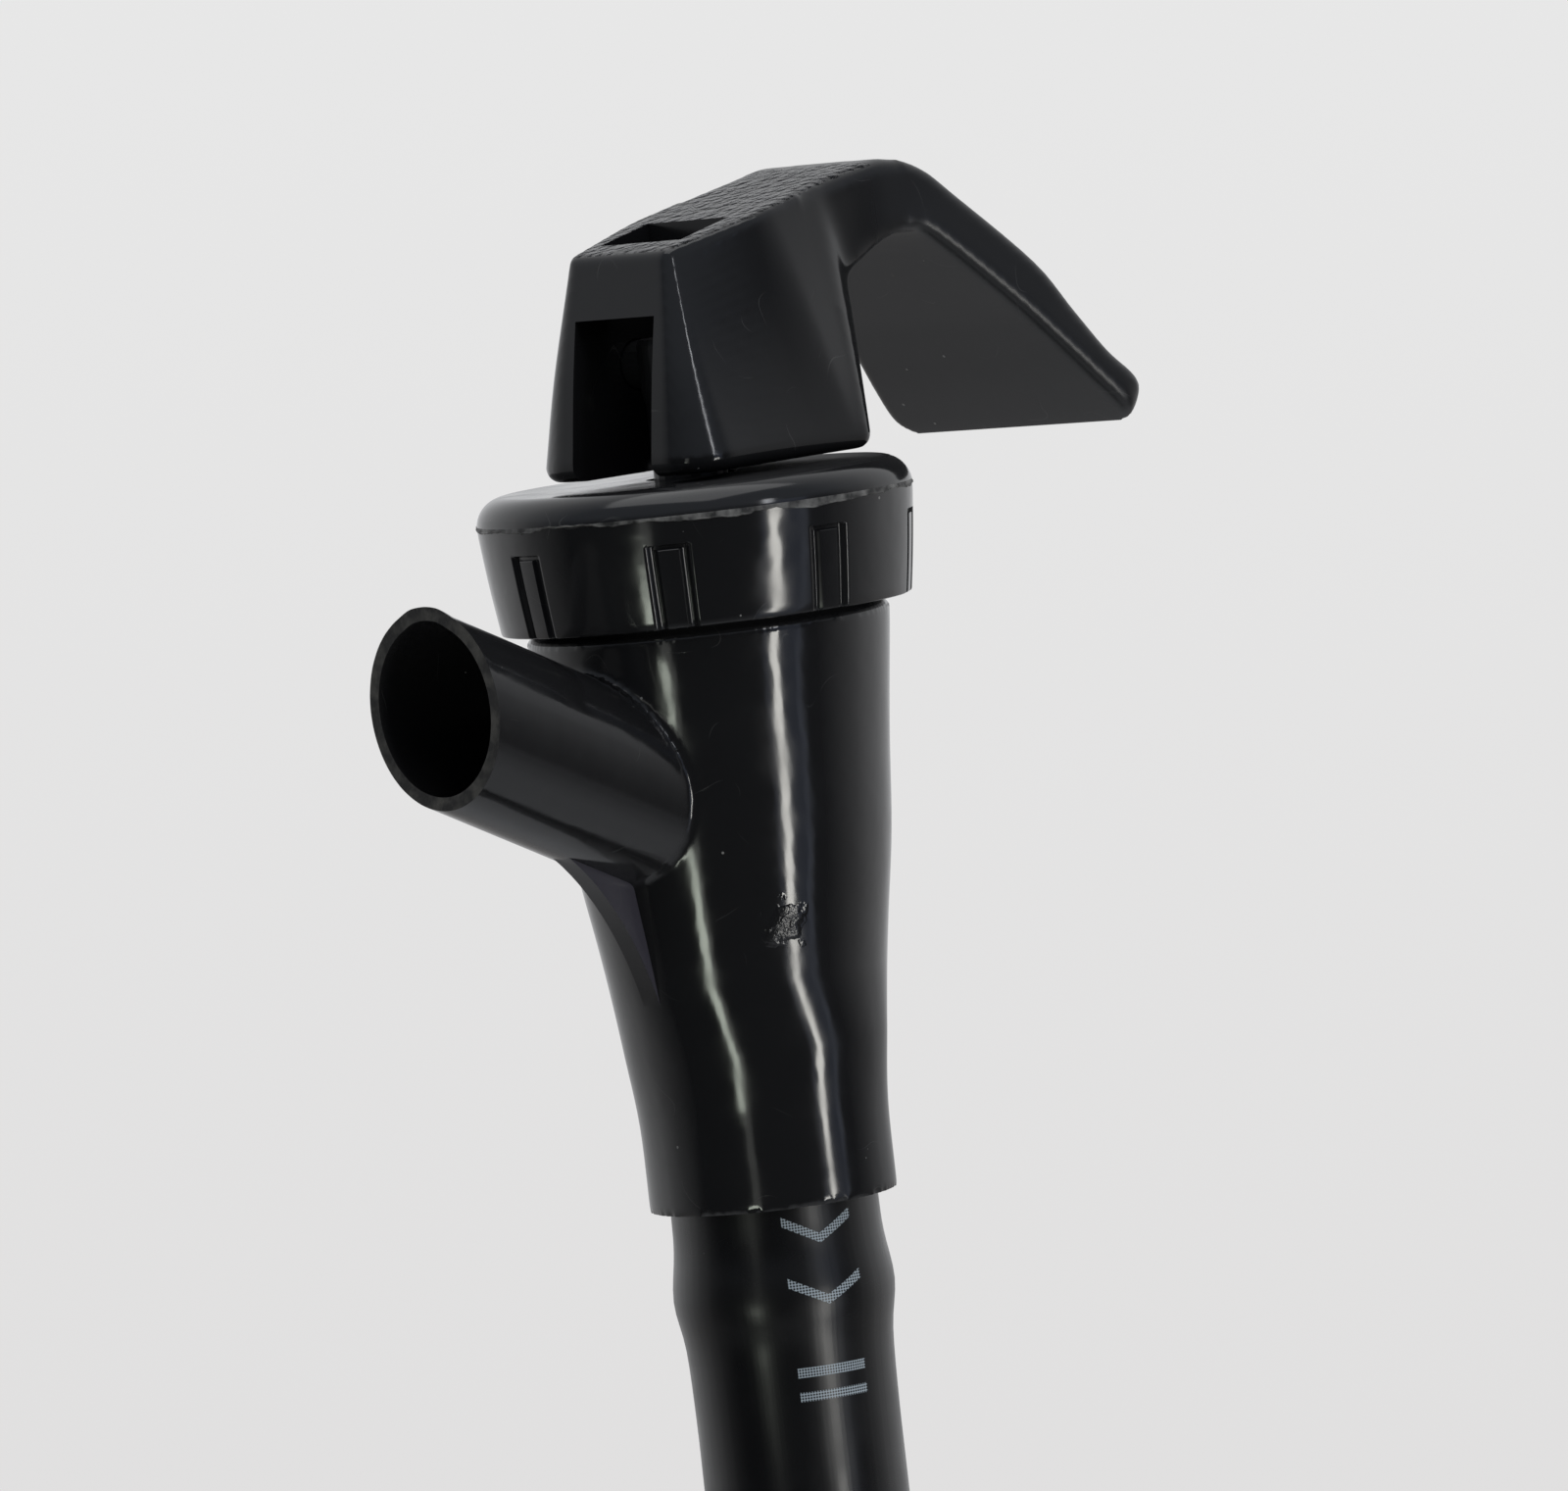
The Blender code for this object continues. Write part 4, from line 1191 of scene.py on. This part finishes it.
@dataclass
class ThumbLever:
    """Hub with its front window and top slot, neck and thumb paddle, in one moulding.

    The hub's levels hold hub_ring's values. The neck's and paddle's sections hold half their
    width, and Y and Z of their upper and of their lower side.
    """

    foot_edge: float = 0.0010
    top_edge: float = 0.0006
    window_half: float = 0.0039
    window_top: float = 0.0626
    cavity_back: float = 0.0078
    slot_half: float = 0.0040
    pivot_z: float = 0.0590
    pivot_radius: float = 0.00185
    mesh_width: float = 0.00024

    levels: tuple[tuple[float, ...], ...] = (
        (-0.0076, 0.0103, 0.0086, 0.0085, 0.0034, 0.0012, 0.0525, 0.0, 0.0080, 0.0),
        (-0.0065, 0.0124, 0.0070, 0.0074, 0.0020, 0.0036, 0.0594, 0.08, 0.0058, 0.0005),
        (-0.0049, 0.0142, 0.0051, 0.0062, 0.0007, 0.0056, 0.0675, 0.22, 0.0030, 0.0010))
    sections: tuple[tuple[float, ...], ...] = (
        (0.0058, 0.0060, 0.0690, 0.0060, 0.0615), (0.0061, 0.0100, 0.0702, 0.0100, 0.0628),
        (0.0063, 0.0134, 0.0709, 0.0129, 0.0640), (0.0067, 0.0165, 0.0713, 0.0153, 0.0654),
        (0.0072, 0.0194, 0.0703, 0.0176, 0.0660), (0.0078, 0.0220, 0.0681, 0.0194, 0.0652),
        (0.0095, 0.0274, 0.0628, 0.0248, 0.0600), (0.0104, 0.0299, 0.0591, 0.0275, 0.0571),
        (0.0113, 0.0320, 0.0559, 0.0302, 0.0540), (0.0118, 0.0341, 0.0537, 0.0324, 0.0516),
        (0.0109, 0.0347, 0.0522, 0.0334, 0.0506))

    def hub_ring(self, front: float, back: float, front_half: float, back_half: float,
                 front_round: float, back_round: float, height: float, slope: float,
                 bend_y: float, bulge: float) -> list[Vector]:
        """Draws one level of the hub.

        Args:
            front: Where it begins, along Y.
            back: Where it ends.
            front_half: Half its width in front.
            back_half: Half its width behind.
            front_round: Radius of its front corners.
            back_round: Radius of its back corners.
            height: Its height at the pivot.
            slope: How much it rises towards the back.
            bend_y: Where its sides bend.
            bulge: How far they stand out there.

        Returns:
            The level's corners.
        """
        start = Vector((front_half, front + front_round))
        end = Vector((back_half, back - back_round))
        share = min(max((bend_y - start.y) / (end.y - start.y), 0.05), 0.95)
        bend = start.lerp(end, share) + Vector((bulge, 0))
        first, last = start.lerp(bend, 0.72), bend.lerp(end, 0.28)
        right = arc((front_half - front_round, front + front_round), front_round, -90, 0, 12)
        right += [tuple(first.lerp(bend, t).lerp(bend.lerp(last, t), t)) for t in
                  (k / 8 for k in range(9))]
        right += arc((back_half - back_round, back - back_round), back_round, 0, 90, 12)
        ring = right + [(-x, y) for x, y in reversed(right)]
        return [Vector((x, y, height + slope * y)) for x, y in ring]

    def rounded(self, level: Sequence[float], radius: float, way: int) -> list[list[float]]:
        """Rounds an end of the hub off.

        Args:
            level: The values of the level at that end.
            radius: The radius of its edge.
            way: 1 for the top and -1 for the foot.

        Returns:
            The levels from the end inwards.
        """
        found = []
        for turn in (0, 22, 45, 67):
            inset = radius * (1 - math.sin(math.radians(turn)))
            soft = (inset, -inset, -inset, -inset, -inset, -inset, 0, 0, 0, 0)
            ring = [max(a + b, 0.0003) if k in (4, 5) else a + b
                    for k, (a, b) in enumerate(zip(level, soft))]
            ring[6] += way * radius * math.cos(math.radians(turn))
            found.append(ring)
        return found

    def hub(self) -> Object:
        """The solid hub."""
        rings = self.rounded(self.levels[0], self.foot_edge, -1)
        rings += eased(self.levels, 10)
        rings += reversed(self.rounded(self.levels[-1], self.top_edge, 1))
        return wrapped("lever_moulding", [self.hub_ring(*ring) for ring in rings])

    def paddle(self) -> Object:
        """The neck and the paddle, from inside the hub to the tip."""
        rings = []
        for half, y_up, z_up, y_low, z_low in eased(self.sections, 5):
            up, low = Vector((0, y_up, z_up)), Vector((0, y_low, z_low))
            deep = (low - up).length
            down = (low - up) / deep
            rings.append([Vector((x, 0, 0)) + up + down * s for x, s in
                          slab(-half, half, 0.0, deep, min(0.0009, deep * 0.36), 5)])
        return wrapped("paddle", rings)

    def build(self) -> None:
        """Makes the lever and dresses it."""
        lever = melted(self.hub(), [self.paddle()], self.mesh_width, 5)
        neck = lever.vertex_groups.new(name="neck")
        neck.add([v.index for v in lever.data.vertices
                  if 0.0075 < v.co.y < 0.0175 and v.co.z > 0.0615 and abs(v.co.x) > 0.0025], 1.0, "REPLACE")
        soften = lever.modifiers.new("Soften", "SMOOTH")
        soften.vertex_group = neck.name
        soften.iterations = 45
        apply_modifiers(lever)
        low_z = self.levels[0][6] - 0.002
        combine(lever, box("window_cut", (-self.window_half, -0.020, low_z),
                           (self.window_half, self.cavity_back, self.window_top)))
        combine(lever, box("slot_cut", (-self.slot_half, -0.0024, self.window_top - 0.001),
                           (self.slot_half, 0.0025, 0.075)))
        combine(lever, rod("pivot_cut", (-0.0061, 0, self.pivot_z), (0.0061, 0, self.pivot_z),
                           self.pivot_radius, 48))
        finishes = [MouldedAbs("moulded_abs_lever", waves=0.012, thumbed=True), PebbledAbs("pebbled_abs_painted_sheen")]
        finished(lever, "lever", ["lever"], 32, finishes,
                 lambda c, n: int(n.z > 0.80 and c.z > 0.0660 and c.y < 0.0150
                                  or n.z < -0.9 and c.z < 0.0535))


# ------------------------------------------------------------------- fitting


@dataclass
class EndFitting:
    """Tailpiece, swivel nut, sealing washer and ear clamp at the far end, and the hose's tie."""

    shift: float = 0.0146
    hose_radius: float = 0.00715
    hose_bore: float = 0.0050
    neck: float = 0.0062
    bore: float = 0.0032
    across_flats: float = 0.027
    thread_radius: float = 0.0104
    thread_pitch: float = 0.00181
    strap: float = 0.0012

    def sleeve(self, name: str, node: str, path: Sequence[tuple[float, float]],
               thickness: float) -> Object:
        """A flat upright band with rounded edges, bent along a closed path.

        Args:
            name: The piece's name.
            node: The node that gives its height.
            path: The band's middle line, seen from above.
            thickness: How thick it is.

        Returns:
            The band.
        """
        rings = []
        low, high = (corner.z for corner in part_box(node))
        for k, (x, y) in enumerate(path):
            way = (Vector(path[(k + 1) % len(path)]) - Vector(path[k - 1])).normalized()
            out = Vector((way.y, -way.x, 0))
            rings.append([Vector((x, y, 0)) + out * a + Vector((0, 0, z)) for a, z in
                          slab(-thickness / 2, thickness / 2, low, high, thickness * 0.35, 3)])
        return wrapped(name, rings + rings[:1])

    def tie(self) -> Object:
        """The strap round both runs of hose."""
        radius = self.hose_radius + 0.0003 + self.strap / 2
        path = arc((self.shift, 0.0), radius, -90, 90, 24) + arc((0.0, 0.0), radius, 90, 270, 24)
        return finished(self.sleeve("hose_strap", "hose_tie", path, self.strap), "root",
                        ["hose_tie"], 40, [MouldedRubber("strap_rubber")])

    def clamp(self) -> Object:
        """The band round the hose, with its pinched ear towards the front."""
        radius = self.hose_radius + 0.0003 + 0.00035
        half, out = 0.0024, radius + 0.0022
        start = math.degrees(math.asin(half / radius))
        path = arc((self.shift, 0.0), radius, -90 + start, 270 - start, 60)
        path += [(self.shift + half * share, -reach) for share, reach in (
            (-1.0, radius + 0.0010), (-0.75, out - 0.0003), (-0.55, out), (0.0, out - 0.0003),
            (0.55, out), (0.75, out - 0.0003), (1.0, radius + 0.0010))]
        return finished(self.sleeve("ear_clamp_band", "ear_clamp", path, 0.0006), "root",
                        ["ear_clamp"], 40,
                        [WorkedMetal("rolled_steel", "#b9bbbd", 0.24, Working.TURNED)])

    def tailpiece(self) -> Object:
        """The turned stem that holds the hose and the nut."""
        low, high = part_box("tailpiece")
        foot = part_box("hose_tail")[0].z
        flange = (high - low).x / 2
        barb = self.hose_bore - 0.0003
        outline = [(self.bore, high.z), (barb - 0.0008, high.z), (barb, high.z - 0.0020)]
        for k in range(3):
            z = high.z - 0.0048 - 0.0045 * k
            outline += [(barb, z), (barb - 0.0005, z - 0.0002), (barb - 0.0005, z - 0.0016),
                        (barb, z - 0.0022)]
        outline += [(barb, foot - 0.0003), (self.neck - 0.0003, foot - 0.0003), (self.neck, foot - 0.0006),
                    (self.neck, low.z + 0.0032), (self.neck + 0.0002, low.z + 0.0026),
                    (flange - 0.0003, low.z + 0.0026), (flange, low.z + 0.0023), (flange, low.z + 0.0002),
                    (flange - 0.0002, low.z), (self.bore + 0.0003, low.z), (self.bore, low.z + 0.0003)]
        stem = turned("turned_tailpiece", outline, 72, centre=(self.shift, 0, 0))
        return finished(stem, "root", ["tailpiece"], 30,
                        [WorkedMetal("turned_plate", "#c9cbcc", 0.14, Working.TURNED)])

    def nut(self) -> Object:
        """The hexagon nut, chamfered at both ends, with a threaded bore."""
        low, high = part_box("swivel_nut")
        corner = self.across_flats / 2 / math.cos(math.radians(30))
        release_all()
        bpy.ops.mesh.primitive_cylinder_add(
            vertices=6, radius=corner, depth=high.z - low.z,
            location=(self.shift, 0, (low.z + high.z) / 2), rotation=(0, 0, math.radians(30)))
        nut = settle(added("hexagon_nut"))
        centre = (self.shift, 0, 0)
        drop = 0.0013
        inner = self.across_flats / 2 - 0.0004
        turn = [(0, high.z), (inner, high.z), (inner + drop * 1.9, high.z - drop),
                (inner + drop * 1.9, low.z + drop), (inner, low.z), (0, low.z)]
        combine(nut, turned("chamfer", turn, 144, centre, closed=False), "INTERSECT")
        roof = high.z - 0.0042
        bore = [(0, high.z + 0.001), (self.neck + 0.0004, high.z + 0.001), (self.neck + 0.0004, roof),
                (self.thread_radius, roof)]
        turns = int((roof - low.z - 0.001) / self.thread_pitch)
        for k in range(turns):
            z = roof - 0.0008 - k * self.thread_pitch
            bore += [(self.thread_radius, z), (self.thread_radius + 0.0007, z - 0.35 * self.thread_pitch),
                     (self.thread_radius + 0.0007, z - 0.5 * self.thread_pitch),
                     (self.thread_radius, z - 0.85 * self.thread_pitch)]
        bore += [(self.thread_radius, low.z + 0.0006), (self.thread_radius + 0.0007, low.z - 0.0001),
                 (0, low.z - 0.0001)]
        combine(nut, turned("thread_cut", bore, 96, centre, closed=False))
        return finished(nut, "nut", ["swivel_nut"], 25,
                        [WorkedMetal("plated_brass", "#d0d1d2", 0.12, Working.PLATED)])

    def washer(self) -> Object:
        """The flat washer that seals against the supply."""
        low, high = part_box("sealing_washer")
        inner, outer, e = 0.0042, (high - low).x / 2, 0.0002
        outline = [(inner, high.z - e), (inner + e, high.z), (outer - e, high.z), (outer, high.z - e),
                   (outer, low.z + e), (outer - e, low.z), (inner + e, low.z), (inner, low.z + e)]
        washer = turned("flat_washer", outline, 72, centre=(self.shift, 0, 0))
        return finished(washer, "root", ["sealing_washer"], 30,
                        [MouldedRubber("washer_rubber", "#5b5650", "#6b665f")])

    def build(self) -> list[Object]:
        """Makes the pieces and returns them."""
        return [self.tie(), self.clamp(), self.tailpiece(), self.washer(), self.nut()]


# --------------------------------------------------------------------- valve


@dataclass
class Valve:
    """The inner pieces, which keep the frame's own shapes."""

    stem: Any = MouldedAbs("moulded_acetal", "#1b1b1c", 0.32, dust=Spread.CLEAN)
    spring_washer: Any = MouldedAbs("moulded_nylon", "#2a2a2a", 0.35, dust=Spread.CLEAN)
    valve_seal: Any = MouldedRubber("seal_rubber")
    diaphragm: Any = MouldedRubber("diaphragm_rubber", "#232324", "#303031", 0.5)
    return_spring: Any = WorkedMetal("drawn_wire", "#b4b6b8", 0.22, Working.DRAWN)

    def build(self) -> None:
        """Dresses the inner pieces, each by its node's name."""
        for node, finish in vars(self).items():
            dress(frame["nodes"][node], [finish])
            LOG.info("%s: dressed", node)


def main() -> None:
    """Builds the studio, then the tap from the hose upwards."""
    logging.basicConfig(level=logging.INFO, format="%(message)s")
    studio = Studio()
    studio.add_camera()
    hose = Hose()
    hose.build()
    EndFitting().build()
    for part in (TapBody(), CapNut(), ThumbLever(), Valve(), studio):
        part.build()


if __name__ == "__main__":
    main()
